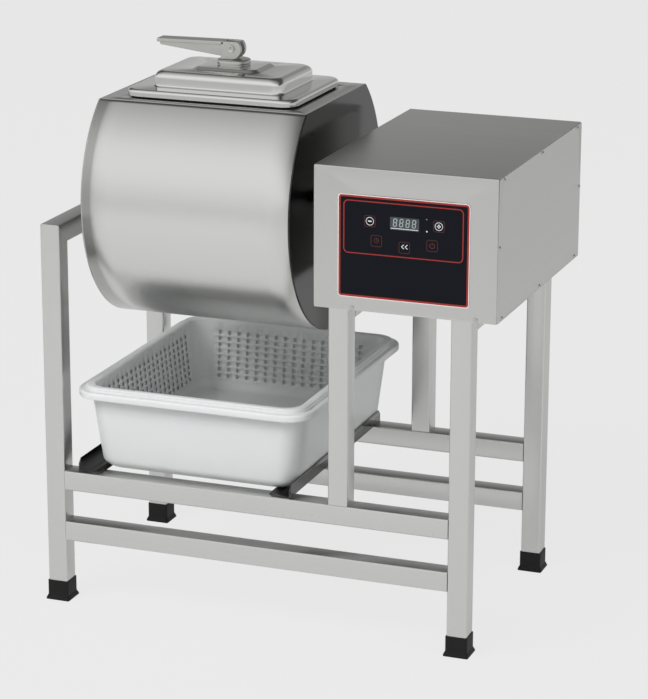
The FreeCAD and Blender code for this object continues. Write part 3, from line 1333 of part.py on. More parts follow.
def vacuum():
    """The pump, the rotary union on the drive shaft's end, and the hose between them."""
    x, y = housing_right - pump_x, housing_front + pump_y
    base = block(112, 84, 6, -56, -42)
    barrel = rod(26.0, 74.0, -50, 0, 34, (1, 0, 0))
    head = block(34, 50, pump_height - 12.0, -17, -25)
    cover = rod(30.0, 26.0, 24, 0, 36, (1, 0, 0))
    port = rod(hose_radius + 2.0, 12.0, z=pump_height - 12.0)
    pump = solid_node("vacuum_pump", base.fuse([barrel, head, cover, port]).removeSplitter())
    place(pump, x, y, floor_z)

    r, inner = float(union_radius), float(shaft_radius + running_clearance)
    case = rod(r, union_length, axis=(1, 0, 0))
    case = case.makeChamfer(2.0, [edge for edge in case.Edges if edge.BoundBox.XLength < 0.01])
    case = case.cut(rod(inner, union_length - 5.5, axis=(1, 0, 0)))
    case = case.cut(rod(hose_radius - 1.5, union_length * 2, axis=(1, 0, 0)))
    made = solid_node("rotary_union", case)
    place(made, union_x, axis_y, axis_z)

    start = Vector(float(union_x + union_length), float(axis_y), float(axis_z))
    over = Vector(float(x), float(axis_y), float(axis_z))
    above = Vector(float(x), float(y), float(axis_z))
    end = Vector(float(x), float(y), float(floor_z + pump_height))
    bend_radius = 0.45 * min((over - start).Length, (above - over).Length, (end - above).Length)
    path = hose_path([start, over, above, end], bend_radius)
    hoses = []
    for radius in (float(hose_radius), float(hose_radius) - 1.5):
        ring = Part.Wire(Part.makeCircle(radius, start, Vector(1, 0, 0)))
        hoses.append(path.makePipeShell([ring], True, True))
    solid_node("vacuum_hose", hoses[0].cut(hoses[1]))


def hose_path(points, radius):
    """A path through square corners, each one rounded to a radius."""
    edges = []
    here = points[0]
    for before, corner, after in zip(points, points[1:], points[2:]):
        back = (before - corner).normalize()
        on = (after - corner).normalize()
        first, last = corner + back * radius, corner + on * radius
        centre = corner + back * radius + on * radius
        middle = centre + (corner - centre).normalize() * radius
        edges.append(Part.LineSegment(here, first).toShape())
        edges.append(Part.Arc(first, middle, last).toShape())
        here = last
    edges.append(Part.LineSegment(here, points[-1]).toShape())
    return Part.Wire(edges)


# ---------------------------------------------------------------- build

def check():
    """Stops the build when an object is in error or a shape is empty or broken."""
    faults = []
    for item in DOC.Objects:
        owners = [made.Label for made in NODES if item in getattr(made, "Group", [])]
        if any(word in item.State for word in ("Invalid", "Error")):
            faults.append(f"{item.Name} of {owners} is in error")
    for made in NODES:
        if made.Shape.isNull() or not made.Shape.isValid() or not made.Shape.Solids:
            faults.append(f"{made.Label} has no sound solid")
    if faults:
        raise ValueError("; ".join(faults))


def export():
    """Writes every sub-part to its own STEP file."""
    os.makedirs("parts", exist_ok=True)
    for made in NODES:
        made.Shape.exportStep(f"parts/{made.Label}.step")
        box = made.Shape.BoundBox
        print(f"{made.Label:24s} {len(made.Shape.Solids):3d} solids  "
              f"x {box.XMin:8.1f} {box.XMax:8.1f}  y {box.YMin:8.1f} {box.YMax:8.1f}  "
              f"z {box.ZMin:8.1f} {box.ZMax:8.1f}")


frame_tubes()
bearing_beam()
foot_caps()
tray_guides()
bearings()
drum_shell()
drum_end("drum_end_left", drum_left, None)
drum_end("drum_end_right", drum_right - end_wall, vacuum_bore)
mouth_neck()
clamp_keepers()
mixing_paddles()
drum_shafts()
gears()
lid()
lid_clamp()
tray()
basket()
housing()
controls()
drive()
vacuum()
DOC.recompute()
check()
export()
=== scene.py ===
# %% [markdown]
# # A vacuum tumbler for marinating meat
# The machine is a steel drum that turns over a draining tray, on a frame of square tube,
# beside a housing with a keypad.  The solids come packed, as a fixed frame; this notebook
# dresses them.  Almost everything is stainless steel, so the lesson is mostly about what
# different steel surfaces show: tube, rolled sheet, polished pressings and castings.

# %% Load the fixed frame
import json
import math

import bmesh
import bpy
import numpy as np
from mathutils import Matrix, Vector

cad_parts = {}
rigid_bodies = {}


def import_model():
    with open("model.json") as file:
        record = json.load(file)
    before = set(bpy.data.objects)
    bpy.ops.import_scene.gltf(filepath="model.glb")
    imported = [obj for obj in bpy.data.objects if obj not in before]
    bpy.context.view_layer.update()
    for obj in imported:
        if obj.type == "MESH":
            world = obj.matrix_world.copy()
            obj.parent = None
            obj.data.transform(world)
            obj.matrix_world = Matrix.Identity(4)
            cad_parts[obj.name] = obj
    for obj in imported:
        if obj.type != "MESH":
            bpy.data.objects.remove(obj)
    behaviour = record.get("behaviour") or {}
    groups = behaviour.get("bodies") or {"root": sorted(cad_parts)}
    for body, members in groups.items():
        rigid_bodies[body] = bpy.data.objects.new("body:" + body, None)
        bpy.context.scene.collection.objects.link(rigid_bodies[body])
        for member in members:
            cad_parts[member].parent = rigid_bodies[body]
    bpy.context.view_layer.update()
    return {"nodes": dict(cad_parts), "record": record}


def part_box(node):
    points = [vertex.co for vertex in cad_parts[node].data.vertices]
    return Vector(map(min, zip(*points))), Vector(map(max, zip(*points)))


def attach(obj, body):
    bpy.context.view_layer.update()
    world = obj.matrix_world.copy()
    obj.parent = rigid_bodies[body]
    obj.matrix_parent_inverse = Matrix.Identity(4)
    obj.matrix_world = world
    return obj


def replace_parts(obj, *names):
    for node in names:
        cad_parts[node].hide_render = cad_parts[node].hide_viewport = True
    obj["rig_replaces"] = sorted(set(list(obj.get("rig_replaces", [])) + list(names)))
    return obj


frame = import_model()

MM = 0.001
SLOT_OF = {part["node"]: part["material_slot"] for part in frame["record"]["subparts"]}
BODY_OF = {node: body for body, nodes in frame["record"]["behaviour"]["bodies"].items()
           for node in nodes}

# %% [markdown]
# ## Camera
# A product picture is taken from far away with a long lens, so that upright edges stay
# upright and the near leg does not loom.  The camera stands to the right of the operator's
# side, a little above the lid, and looks down at the machine.

# %% Camera
CAMERA_PLACE = (1.8048, -4.7801, 1.9648)
CAMERA_TURN, CAMERA_TILT, CAMERA_ROLL = 0.35840, 0.28583, 0.00283
LENS = 145.13

turn, tilt = CAMERA_TURN, CAMERA_TILT
forward = Vector((-math.sin(turn) * math.cos(tilt), math.cos(turn) * math.cos(tilt), -math.sin(tilt)))
camera_data = bpy.data.cameras.new("camera")
camera_data.lens = LENS
camera_data.clip_end = 60.0
camera = bpy.data.objects.new("camera", camera_data)
bpy.context.scene.collection.objects.link(camera)
aim = forward.to_track_quat("-Z", "Y").to_matrix().to_4x4()
camera.matrix_world = Matrix.Translation(CAMERA_PLACE) @ aim @ Matrix.Rotation(CAMERA_ROLL, 4, "Z")
bpy.context.scene.camera = camera

# %% [markdown]
# ## Colours and nodes
# A colour is written as the hex value that a paint chart would give.  Blender's nodes work
# in linear light, so one function turns the hex value into linear numbers.  One more adds
# a node with its settings and links, which keeps each material short enough to read.

# %% Colours and nodes
def linear(hexcode, alpha=1.0):
    """An sRGB hex colour as linear red, green, blue and alpha."""
    channels = np.array([int(hexcode[i:i + 2], 16) for i in (1, 3, 5)]) / 255
    light = np.where(channels <= 0.04045, channels / 12.92, ((channels + 0.055) / 1.055) ** 2.4)
    return (*light.tolist(), alpha)


def add(tree, kind, links=None, **settings):
    """Adds one node: settings are sockets or properties, links join its inputs to outputs."""
    made = tree.nodes.new(kind)
    for key, value in settings.items():
        if key in made.inputs:
            made.inputs[key].default_value = value
        else:
            setattr(made, key, value)
    for key, output in (links or {}).items():
        tree.links.new(output, made.inputs[key])
    return made


def new_material(name):
    """A material with a bare Principled shader: gives the tree and the shader."""
    made = bpy.data.materials.new(name)
    made.use_nodes = True
    made.node_tree.nodes.clear()
    shader = add(made.node_tree, "ShaderNodeBsdfPrincipled")
    output = add(made.node_tree, "ShaderNodeOutputMaterial")
    made.node_tree.links.new(shader.outputs[0], output.inputs["Surface"])
    return made, made.node_tree, shader


# %% [markdown]
# ## Steel
# Stainless steel has almost one colour.  What tells one piece from another is how it was
# finished, apart from the drum's right end plate and the guides: their dark base colour is
# painted shade, a dark reflection painted in.  Tube and sheet are brushed by a belt of about
# 320 grit, whose scratches run one way and are far finer than a picture can show, so they
# are drawn a few times coarser.  The belt leaves slow bands too, where it pressed harder.
# A bump along the grain and a small change of roughness across it give both.

# %% Brushed steel
GRIT_SPACING = 0.9 * MM     # real scratches lie 0.05 mm apart; these show at this distance
BAND_SPACING = 26 * MM      # slow bands across the belt's path
CAST_GRAIN = 0.8 * MM       # the dimples that blasting leaves on a casting
SLOW_TONE = 60 * MM         # how far a moulding's tone drifts before it drifts back


def brushed_steel(name, colour, roughness, grain, depth=0.012, bands=0.035):
    """Belt-brushed steel: noise that is stretched sixty times along the grain's axis."""
    made, tree, shader = new_material(name)
    place = add(tree, "ShaderNodeTexCoord")
    stretch = [1.0, 1.0, 1.0]
    stretch["xyz".index(grain)] = 1 / 60
    mapped = add(tree, "ShaderNodeMapping", {"Vector": place.outputs["Object"]}, Scale=stretch)
    scratches = add(tree, "ShaderNodeTexNoise", {"Vector": mapped.outputs[0]},
                    Scale=1 / GRIT_SPACING, Detail=3.0)
    slow = add(tree, "ShaderNodeTexNoise", {"Vector": mapped.outputs[0]},
               Scale=1 / BAND_SPACING, Detail=2.0)
    mixed = add(tree, "ShaderNodeMath", {0: scratches.outputs[0], 1: slow.outputs[0]}, operation="ADD")
    rough = add(tree, "ShaderNodeMapRange", {"Value": mixed.outputs[0]})
    rough.inputs["From Min"].default_value, rough.inputs["From Max"].default_value = 0.6, 1.4
    rough.inputs["To Min"].default_value = roughness - bands
    rough.inputs["To Max"].default_value = roughness + bands
    bump = add(tree, "ShaderNodeBump", {"Height": scratches.outputs[0]},
               Strength=0.25, Distance=depth * MM)
    tree.links.new(rough.outputs[0], shader.inputs["Roughness"])
    tree.links.new(bump.outputs[0], shader.inputs["Normal"])
    shader.inputs["Base Color"].default_value = linear(colour)
    shader.inputs["Metallic"].default_value = 1.0
    return made


def plain_metal(name, colour, roughness, mottle=0.04, size=6 * MM, relief=0.0):
    """Polished, turned or cast metal: a soft mottle of roughness, with a relief for castings."""
    made, tree, shader = new_material(name)
    place = add(tree, "ShaderNodeTexCoord")
    cloud = add(tree, "ShaderNodeTexNoise", {"Vector": place.outputs["Object"]},
                Scale=1 / size, Detail=4.0)
    rough = add(tree, "ShaderNodeMapRange", {"Value": cloud.outputs[0]})
    rough.inputs["To Min"].default_value = roughness - mottle
    rough.inputs["To Max"].default_value = roughness + mottle
    tree.links.new(rough.outputs[0], shader.inputs["Roughness"])
    if relief:
        grains = add(tree, "ShaderNodeTexNoise", {"Vector": place.outputs["Object"]},
                     Scale=1 / CAST_GRAIN, Detail=3.0)
        bump = add(tree, "ShaderNodeBump", {"Height": grains.outputs[0]},
                   Strength=0.4, Distance=relief * MM)
        tree.links.new(bump.outputs[0], shader.inputs["Normal"])
    shader.inputs["Base Color"].default_value = linear(colour)
    shader.inputs["Metallic"].default_value = 1.0
    return made


TUBE_STEEL = {axis: brushed_steel(f"brushed_stainless_tube_{axis}", "#D2D2D0", 0.30, axis)
              for axis in "xyz"}
SHEET_STEEL = brushed_steel("brushed_stainless_sheet", "#CACAC8", 0.33, "x", bands=0.03)
SIDE_STEEL = brushed_steel("brushed_stainless_side_sheet", "#CACAC8", 0.33, "y", bands=0.03)
DRUM_STEEL = brushed_steel("satin_rolled_stainless", "#DADAD8", 0.30, "x", depth=0.008, bands=0.02)
END_STEEL = plain_metal("bright_stainless_plate", "#B4B4B2", 0.22, 0.03, 40 * MM)
# The right end plate is the same steel as the left one. Its dark grey colour is painted shade, standing
# in for the dark reflection of the housing's shaded side.
END_PLATE_PAINTED_DARK = plain_metal("polished_stainless_plate_painted_dark", "#444444", 0.14, 0.02, 40 * MM)
LID_STEEL = plain_metal("polished_pressed_stainless", "#DCDCDA", 0.11, 0.02, 22 * MM)
TURNED_STEEL = plain_metal("turned_stainless", "#C2C2C0", 0.24, 0.03, 3 * MM)
BOLT_STEEL = plain_metal("bright_stainless_fasteners", "#CACAC8", 0.20, 0.03, 2 * MM)
CAST_STEEL = plain_metal("bead_blasted_cast_stainless", "#C6C6C2", 0.34, 0.05, 5 * MM, relief=0.06)
# The guides are the same stainless. Their dark grey is painted shade, standing in for the dark
# reflections on them.
GUIDE_STEEL_PAINTED_DARK = plain_metal("stainless_with_painted_dark_reflection", "#5A5A5A", 0.16, 0.03, 12 * MM)
BRASS = plain_metal("turned_brass", "#C9A45C", 0.26, 0.04, 4 * MM)
print("steels:", len([m for m in bpy.data.materials if "stainless" in m.name]))

# %% [markdown]
# ## Plastics, rubber and enamel
# The tray is injection moulded polypropylene: milky, slightly translucent and satin.  The
# feet and seals are moulded rubber.  The keypad is a printed film, black and almost matt.
# Each has a very fine grain from its mould or roller, which shows as a soft highlight.

# %% Moulded and painted finishes
def moulded(name, colour, roughness, grain=0.5 * MM, relief=0.02, shift=0.06, glow=0.0, coat=0.0,
             gloss=0.5):
    """Moulded or painted: a fine grain in the surface and a slow change of tone."""
    made, tree, shader = new_material(name)
    place = add(tree, "ShaderNodeTexCoord")
    slow = add(tree, "ShaderNodeTexNoise", {"Vector": place.outputs["Object"]},
               Scale=1 / SLOW_TONE, Detail=3.0)
    fine = add(tree, "ShaderNodeTexNoise", {"Vector": place.outputs["Object"]},
               Scale=1 / grain, Detail=2.0)
    base = linear(colour)
    tones = [tuple(c * (1 + side * shift) for c in base[:3]) + (1.0,) for side in (-1, 1)]
    tone = add(tree, "ShaderNodeMix", {"Factor": slow.outputs[0]}, data_type="RGBA")
    tone.inputs[6].default_value, tone.inputs[7].default_value = tones
    bump = add(tree, "ShaderNodeBump", {"Height": fine.outputs[0]}, Strength=0.3, Distance=relief * MM)
    tree.links.new(tone.outputs[2], shader.inputs["Base Color"])
    tree.links.new(bump.outputs[0], shader.inputs["Normal"])
    shader.inputs["Roughness"].default_value = roughness
    shader.inputs["Coat Weight"].default_value = coat
    shader.inputs["Specular IOR Level"].default_value = gloss
    if glow:
        shader.inputs["Subsurface Weight"].default_value = glow
        shader.inputs["Subsurface Radius"].default_value = (1.0, 0.95, 0.9)
        shader.inputs["Subsurface Scale"].default_value = 6 * MM
    return made


POLYPROPYLENE = moulded("milky_polypropylene", "#CFD1D1", 0.36, glow=0.35, shift=0.02)
RUBBER = moulded("black_moulded_rubber", "#101010", 0.5, relief=0.05, shift=0.15, gloss=0.25)
NYLON = moulded("black_moulded_nylon", "#0E0E0F", 0.42, gloss=0.3)
FILM = moulded("printed_polyester_film", "#0B0D14", 0.3, relief=0.004, shift=0.1, gloss=0.12)
RED_INK = moulded("red_printed_ink", "#8C1C14", 0.35, relief=0.004)
DIM_INK = moulded("dark_red_printed_ink", "#4A1410", 0.35, relief=0.004)
WHITE_INK = moulded("white_printed_ink", "#C6CACC", 0.35, relief=0.004)
CLEAR_EDGE = moulded("clear_film_edge", "#D5CFCB", 0.3, relief=0.004)
DISPLAY_GLASS = moulded("smoked_display_window", "#2B3034", 0.18, relief=0.002, coat=0.4)
SEGMENTS = moulded("unlit_display_segments", "#94A09F", 0.4, relief=0.002)
BOARD = moulded("green_solder_mask", "#1E5A34", 0.4)
ENAMEL = moulded("grey_machine_enamel", "#4B565C", 0.35, coat=0.3)
IRON_ENAMEL = moulded("grey_green_cast_enamel", "#5D6A6B", 0.42, grain=1.2 * MM, relief=0.12, coat=0.2)
print("finishes in all:", len(bpy.data.materials))

FINISH = {
    "frame_steel": TUBE_STEEL["z"], "black_rubber": RUBBER, "guide_steel": GUIDE_STEEL_PAINTED_DARK,
    "bearing_iron": IRON_ENAMEL, "bolt_steel": BOLT_STEEL, "sheet_steel": SHEET_STEEL,
    "overlay_film": FILM, "display_plastic": DISPLAY_GLASS, "board_laminate": BOARD,
    "black_nylon": NYLON, "machine_paint": ENAMEL, "brass": BRASS, "drum_steel": END_STEEL,
    "turned_steel": TURNED_STEEL, "lid_steel": LID_STEEL, "cast_steel": CAST_STEEL,
    "tray_plastic": POLYPROPYLENE,
}

# %% [markdown]
# ## Surfaces from numbers
# Every new piece is a grid of points.  Two families cover nearly all of this machine.  A
# loft joins a row of closed loops, each with the same number of points: a pressed lid, a
# tray or a foot is a stack of rounded rectangles whose size changes with height.  A ring
# plate is the same thing folded flat.  Faces follow from the grid's own numbering.

# %% Lofts
def grid_faces(rows, columns, wrap_rows=False, wrap_columns=True, first=0):
    """Four corners of each cell of a grid of points, counted row by row."""
    down = np.arange(rows if wrap_rows else rows - 1)
    across = np.arange(columns if wrap_columns else columns - 1)
    r, c = np.meshgrid(down, across, indexing="ij")
    next_r, next_c = (r + 1) % rows, (c + 1) % columns
    corners = [r * columns + c, r * columns + next_c, next_r * columns + next_c, next_r * columns + c]
    return np.stack(corners, axis=-1).reshape(-1, 4) + first


def loft(loops, wrap=False, cap_first=False, cap_last=False, keep=None, closed=True):
    """Points and faces through a row of loops: cells join each loop to the next one."""
    loops = np.asarray(loops, float)
    rows, columns = loops.shape[:2]
    cells = grid_faces(rows, columns, wrap, closed)
    if keep is not None:
        cells = cells[np.asarray(keep).reshape(-1)]
    faces = cells.tolist()
    if cap_first:
        faces.append(list(range(columns))[::-1])
    if cap_last:
        faces.append(list(range((rows - 1) * columns, rows * columns)))
    return loops.reshape(-1, 3), faces


def combined(parts):
    """Several sets of points and faces as one: each set's numbers move up by those before."""
    points, faces, first = [], [], 0
    for some_points, some_faces in parts:
        points.append(some_points)
        faces += [[index + first for index in face] for face in some_faces]
        first += len(some_points)
    return np.concatenate(points), faces


def outward(mesh, merge=True):
    """Merges doubled points, where asked, and turns every face to the outside."""
    work = bmesh.new()
    work.from_mesh(mesh)
    if merge:
        bmesh.ops.remove_doubles(work, verts=work.verts, dist=1e-6)
    bmesh.ops.recalc_face_normals(work, faces=work.faces)
    work.to_mesh(mesh)
    work.free()


# %% [markdown]
# ## From numbers to a piece
# Points and faces become a mesh in one call.  Every piece then says which solid it takes
# the place of, which body it moves with and which finish it belongs to.

# %% Pieces
def piece(name, shape, finish, stands_for=(), body=None, sharp=32, solid=True):
    """Makes a named piece from points in mm and faces, and gives it its body and slot."""
    points, faces = shape
    mesh = bpy.data.meshes.new(name)
    mesh.from_pydata((np.asarray(points) * MM).tolist(), [], faces)
    if solid:
        outward(mesh)
    mesh.shade_smooth()
    mesh.set_sharp_from_angle(angle=math.radians(sharp))
    made = bpy.data.objects.new(name, mesh)
    bpy.context.scene.collection.objects.link(made)
    mesh.materials.append(finish)
    nodes = [stands_for] if isinstance(stands_for, str) else list(stands_for)
    if nodes:
        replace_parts(made, *nodes)
    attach(made, body or BODY_OF[nodes[0]])
    return made


# %% Outlines
def rounded_loop(length, depth, radius, corner=8, side=5):
    """A rectangle with round corners, anticlockwise from its right side: (n, 2) points."""
    radius = min(radius, length / 2 - 1e-3, depth / 2 - 1e-3)
    sweep = np.linspace(0, math.pi / 2, corner + 1)
    arcs = []
    for quarter, (sx, sy) in enumerate(((1, 1), (-1, 1), (-1, -1), (1, -1))):
        angle = sweep + quarter * math.pi / 2
        middle = np.array([sx * (length / 2 - radius), sy * (depth / 2 - radius)])
        arcs.append(middle + radius * np.stack([np.cos(angle), np.sin(angle)], axis=1))
    share = np.linspace(0, 1, side + 2)[1:-1, None]
    pieces_of_loop = []
    for here, after in zip(arcs, arcs[1:] + arcs[:1]):
        pieces_of_loop += [here, here[-1] * (1 - share) + after[0] * share]
    return np.concatenate(pieces_of_loop)


def arc(u, v, radius, start, stop, count=6):
    """Points on a circle's arc between two angles in degrees: (n, 2)."""
    angle = np.radians(np.linspace(start, stop, count))
    return np.stack([u + radius * np.cos(angle), v + radius * np.sin(angle)], axis=1)


def level_loops(rows, middle, corner=8, side=5):
    """Loops for a stack of (length, depth, corner radius, height) about an upright axis."""
    loops = []
    for length, depth, radius, height in rows:
        flat = rounded_loop(length, depth, radius, corner, side)
        loops.append(np.column_stack([flat + np.asarray(middle)[None, :2], np.full(len(flat), height)]))
    return np.array(loops)


# %% [markdown]
# ## Solids as they come
# A solid comes as loose flat triangles.  A copy whose points are merged can be shaded
# smoothly across its curved faces, while edges sharper than an angle stay crisp.

# %% Merged copies
def smooth_copy(node, finish, sharp=32):
    """A CAD node with its loose triangles merged and its curved faces shaded smoothly."""
    mesh = frame["nodes"][node].data.copy()
    work = bmesh.new()
    work.from_mesh(mesh)
    bmesh.ops.remove_doubles(work, verts=work.verts, dist=2e-6)
    work.to_mesh(mesh)
    work.free()
    mesh.materials.clear()
    mesh.materials.append(finish)
    mesh.shade_smooth()
    mesh.set_sharp_from_angle(angle=math.radians(sharp))
    made = bpy.data.objects.new(f"{node}_finished", mesh)
    bpy.context.scene.collection.objects.link(made)
    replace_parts(made, node)
    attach(made, BODY_OF[node])
    return made


def span(node):
    """A CAD node's lowest and highest corner, in mm."""
    low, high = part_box(node)
    return np.array(low) / MM, np.array(high) / MM


# %% [markdown]
# ## Frame tubes
# Square tube is rolled, so its long corners are round, about twice the wall in radius.
# Those corners catch the light as thin lines, and they are what makes a tube look like
# tube.  Each length is a rounded square carried from one end to the other; the ends at the
# top left are mitred, so there the end plane leans by 45 degrees.

# %% Frame tubes
TUBE_CORNER = 3.2


def tube_piece(node, axis, first=(0.0, 1.0), last=(0.0, 1.0)):
    """A rounded rectangle carried along an axis.

    A mitred end slides along the axis by its slope times the distance from one side.
    """
    low, high = span(node)
    run = "xyz".index(axis)
    u, v = [i for i in range(3) if i != run]
    middle = (low + high) / 2
    loop = rounded_loop(high[u] - low[u], high[v] - low[v], TUBE_CORNER, corner=4, side=1)
    loops = []
    half = (high[v] - low[v]) / 2
    for end, (slope, side) in ((low[run], first), (high[run], last)):
        points = np.zeros((len(loop), 3))
        points[:, u], points[:, v] = loop[:, 0] + middle[u], loop[:, 1] + middle[v]
        points[:, run] = end + slope * (loop[:, 1] - side * half)
        loops.append(points)
    return piece(f"{node}_tube", loft(loops, cap_first=True, cap_last=True), TUBE_STEEL[axis], node)


for name in ("upper_rail_front", "upper_rail_rear", "lower_rail_front", "lower_rail_rear"):
    tube_piece(name, "x")
for name in ("leg_front_right", "leg_rear_right", "inner_post_front", "inner_post_rear"):
    tube_piece(name, "z")
for name in ("head_beam_inner", "head_beam_right"):
    tube_piece(name, "y")
tube_piece("leg_front_left", "z", last=(-1.0, -1.0))
tube_piece("leg_rear_left", "z", last=(1.0, 1.0))
tube_piece("bearing_beam", "y", first=(-1.0, 1.0), last=(1.0, 1.0))

# %% [markdown]
# ## Feet
# Each leg stands in a moulded rubber cap: a sleeve with a rounded lip, over a base that
# spreads in a curve.  It is a stack of rounded squares.

# %% Feet
def foot_caps():
    """Four stacks of rounded squares, from the sole up to the lip and down inside it."""
    low, high = span("foot_caps")
    cap_height = high[2]
    leg_low, leg_high = span("leg_front_right")
    side = leg_high[0] - leg_low[0]
    wide, sleeve = 48.0, 41.2
    spread = [(wide - 2.4, 2.0, 0.0), (wide - 0.8, 3.0, 0.5), (wide, 3.5, 1.6),
              (wide - 0.6, 3.5, 3.2), (wide - 2.6, 3.3, 5.6), (wide - 4.9, 3.1, 7.8),
              (sleeve + 0.3, 3.0, 9.6), (sleeve, 3.0, 11.0), (sleeve, 3.0, cap_height - 1.2),
              (sleeve - 0.5, 3.0, cap_height - 0.3), (sleeve - 1.4, 3.0, cap_height),
              (side + 0.05, 3.2, cap_height - 0.2), (side + 0.05, 3.2, 4.0)]
    stacks = []
    for leg in ("leg_front_left", "leg_rear_left", "leg_front_right", "leg_rear_right"):
        a, b = span(leg)
        middle = ((a[0] + b[0]) / 2, (a[1] + b[1]) / 2)
        rows = [(size, size, radius, height) for size, radius, height in spread]
        stacks.append(loft(level_loops(rows, middle, 5, 2), cap_first=True, cap_last=True))
    return piece("foot_caps_rubber", combined(stacks), RUBBER, "foot_caps")


foot_caps()
print("foot caps: one piece of four, in mm:", np.round(span("foot_caps")[1][2], 1), "high")

# %% [markdown]
# ## Drum
# The drum is rolled from one sheet into a round with a flat top, and the lid's mouth is
# cut in the flat.  The skin is two surfaces that share their edges: the round, which is an
# arc carried along the axis, and the flat, which is a plate between the mouth's outline
# and its own outline.  Solidify then gives the sheet its thickness, inwards.

# %% Drum skin and ends
drum_low, drum_high = span("drum_shell")
AXIS = np.array([0.0, (drum_low[1] + drum_high[1]) / 2, 0.0])
DRUM_RADIUS = (drum_high[1] - drum_low[1]) / 2
AXIS[2] = drum_low[2] + DRUM_RADIUS
FLAT = drum_high[2]
DRUM_MIDDLE = (drum_low[0] + drum_high[0]) / 2
flat_half = math.sqrt(DRUM_RADIUS ** 2 - (FLAT - AXIS[2]) ** 2)
flat_angle = math.degrees(math.atan2(FLAT - AXIS[2], flat_half))
RING_POINTS = 193
END_BEVEL = 0.7


def drum_skin():
    """The round as an arc along X, and the flat as a loft from its outline to the mouth's."""
    ring = arc(AXIS[1], AXIS[2], DRUM_RADIUS, 180 - flat_angle, 360 + flat_angle, RING_POINTS)
    stations = np.linspace(drum_low[0], drum_high[0], 9)
    round_loops = [np.column_stack([np.full(len(ring), x), ring]) for x in stations]
    neck_low, neck_high = span("mouth_neck")
    mouth = (neck_high[0] - neck_low[0], neck_high[1] - neck_low[1])
    outer = (drum_high[0] - drum_low[0], 2 * flat_half)
    middle = (DRUM_MIDDLE, AXIS[1])
    rows = [(*outer, 0.02, FLAT), (*mouth, 25.0, FLAT)]
    flat = level_loops(rows, middle, 10, 8)
    made = piece("drum_skin", combined([loft(round_loops, closed=False), loft(flat)]), DRUM_STEEL,
                 "drum_shell", sharp=25, solid=False)
    outward(made.data)
    shell = made.modifiers.new("sheet", "SOLIDIFY")
    shell.thickness, shell.offset = 2.0 * MM, -1.0
    return made


def drum_end(node, side, finish):
    """A flat-topped disc: its outline, then the same outline drawn in by a small bevel."""
    low, high = span(node)
    inner_x, outer_x = (low[0], high[0]) if side > 0 else (high[0], low[0])
    ring = arc(AXIS[1], AXIS[2], DRUM_RADIUS, 180 - flat_angle, 360 + flat_angle, RING_POINTS)
    inner = np.column_stack([np.full(len(ring), inner_x), ring])
    edge, bevel = inner.copy(), inner.copy()
    edge[:, 0], bevel[:, 0] = outer_x - side * END_BEVEL, outer_x
    bevel[:, 1:] = AXIS[1:] + (bevel[:, 1:] - AXIS[1:]) * (1 - END_BEVEL / DRUM_RADIUS)
    shape = loft([inner, edge, bevel], cap_first=True, cap_last=True)
    return piece(f"{node}_plate", shape, finish, node)


drum_skin()
drum_end("drum_end_left", -1, END_STEEL)
# The right end plate has a darker colour: painted shade for the shaded housing side mirrored in it.
drum_end("drum_end_right", 1, END_PLATE_PAINTED_DARK)
print("drum radius, flat half-width, mm:", round(DRUM_RADIUS, 1), round(flat_half, 1))

# %% [markdown]
# ## Lid
# The lid is pressed from one sheet and polished.  It steps up twice: a rim with a rounded
# edge, a shelf, a dome, and a low pad in the middle for the clamp.  Polished steel shows
# its shape only through what it mirrors, so every bend has a real radius with many rows.

# %% Lid
lid_low, lid_high = span("lid_cover")
LID_MIDDLE = ((lid_low[0] + lid_high[0]) / 2, (lid_low[1] + lid_high[1]) / 2)
LID_SIZE = np.array([lid_high[0] - lid_low[0], lid_high[1] - lid_low[1]])
PAD_TOP = lid_high[2] - lid_low[2]
RIM, SHELF, DOME, SHEET, LID_CORNER = 12.5, 40.0, 41.2, 1.5, 30.0


def lid_profile(offset):
    """Inset and height of the pressing's outer face, moved inwards by an offset."""
    rim_round, dome_round, root = 5.6 - offset, 12.5 - offset, 3.75 + offset
    parts = [[(offset, 0.0)],
             arc(5.6, RIM - 5.6, rim_round, 180, 90, 8),
             arc(SHELF + offset - root, RIM - offset + root, root, 270, 360, 7),
             arc(SHELF + 12.5, DOME - 12.5, dome_round, 180, 90, 12)]
    return np.concatenate([np.asarray(part, float) for part in parts])


def lid_rows(profile, corner, until=math.inf):
    """Rounded rectangles for a profile: the corner shrinks by a quarter of the inset."""
    return [(LID_SIZE[0] - 2 * inset, LID_SIZE[1] - 2 * inset, corner - min(inset, until) * 0.25, height)
            for inset, height in profile]


def lid():
    """The pressing as one closed skin: outside, pad, hub hole, and back under the sheet."""
    hole = 28.12
    outside, inside = lid_profile(0.0), lid_profile(SHEET)[::-1]
    rows = lid_rows(outside, LID_CORNER, SHELF)
    pad = [(124.0 + 2 * grow, 100.0 + 2 * grow, 16.0 + grow, DOME + rise) for grow, rise in
           ((5.5, 0.0), (4.2, 0.4), (0.5, 2.7), (-3.2, 4.9), (-4.2, 5.35), (-5.6, 5.5))]
    rows += pad + [(hole, hole, hole / 2, PAD_TOP), (hole, hole, hole / 2, DOME - SHEET)]
    rows += lid_rows(inside, LID_CORNER - SHEET)
    rows = [(a, b, c, z + lid_low[2]) for a, b, c, z in rows]
    return piece("lid_pressing", loft(level_loops(rows, LID_MIDDLE, 12, 10), wrap=True), LID_STEEL,
                 "lid_cover", sharp=50)


def gasket():
    """A flat rubber ring under the lid's shelf, rounded where it shows."""
    low, high = span("lid_gasket")
    size = high - low
    rows = []
    for inset, height in ((0.8, 0.0), (0.0, 0.9), (0.0, 2.8), (0.6, 3.6), (1.0, size[2]),
                          (14.0, size[2]), (14.0, 0.0)):
        rows.append((size[0] - 2 * inset, size[1] - 2 * inset, max(24.0 - inset, 10.0), low[2] + height))
    shape = loft(level_loops(rows, LID_MIDDLE, 8, 4), wrap=True)
    return piece("lid_gasket_ring", shape, RUBBER, "lid_gasket")


lid()
gasket()
print("lid, in mm:", np.round(LID_SIZE, 1), "pad's top at", round(PAD_TOP, 1))

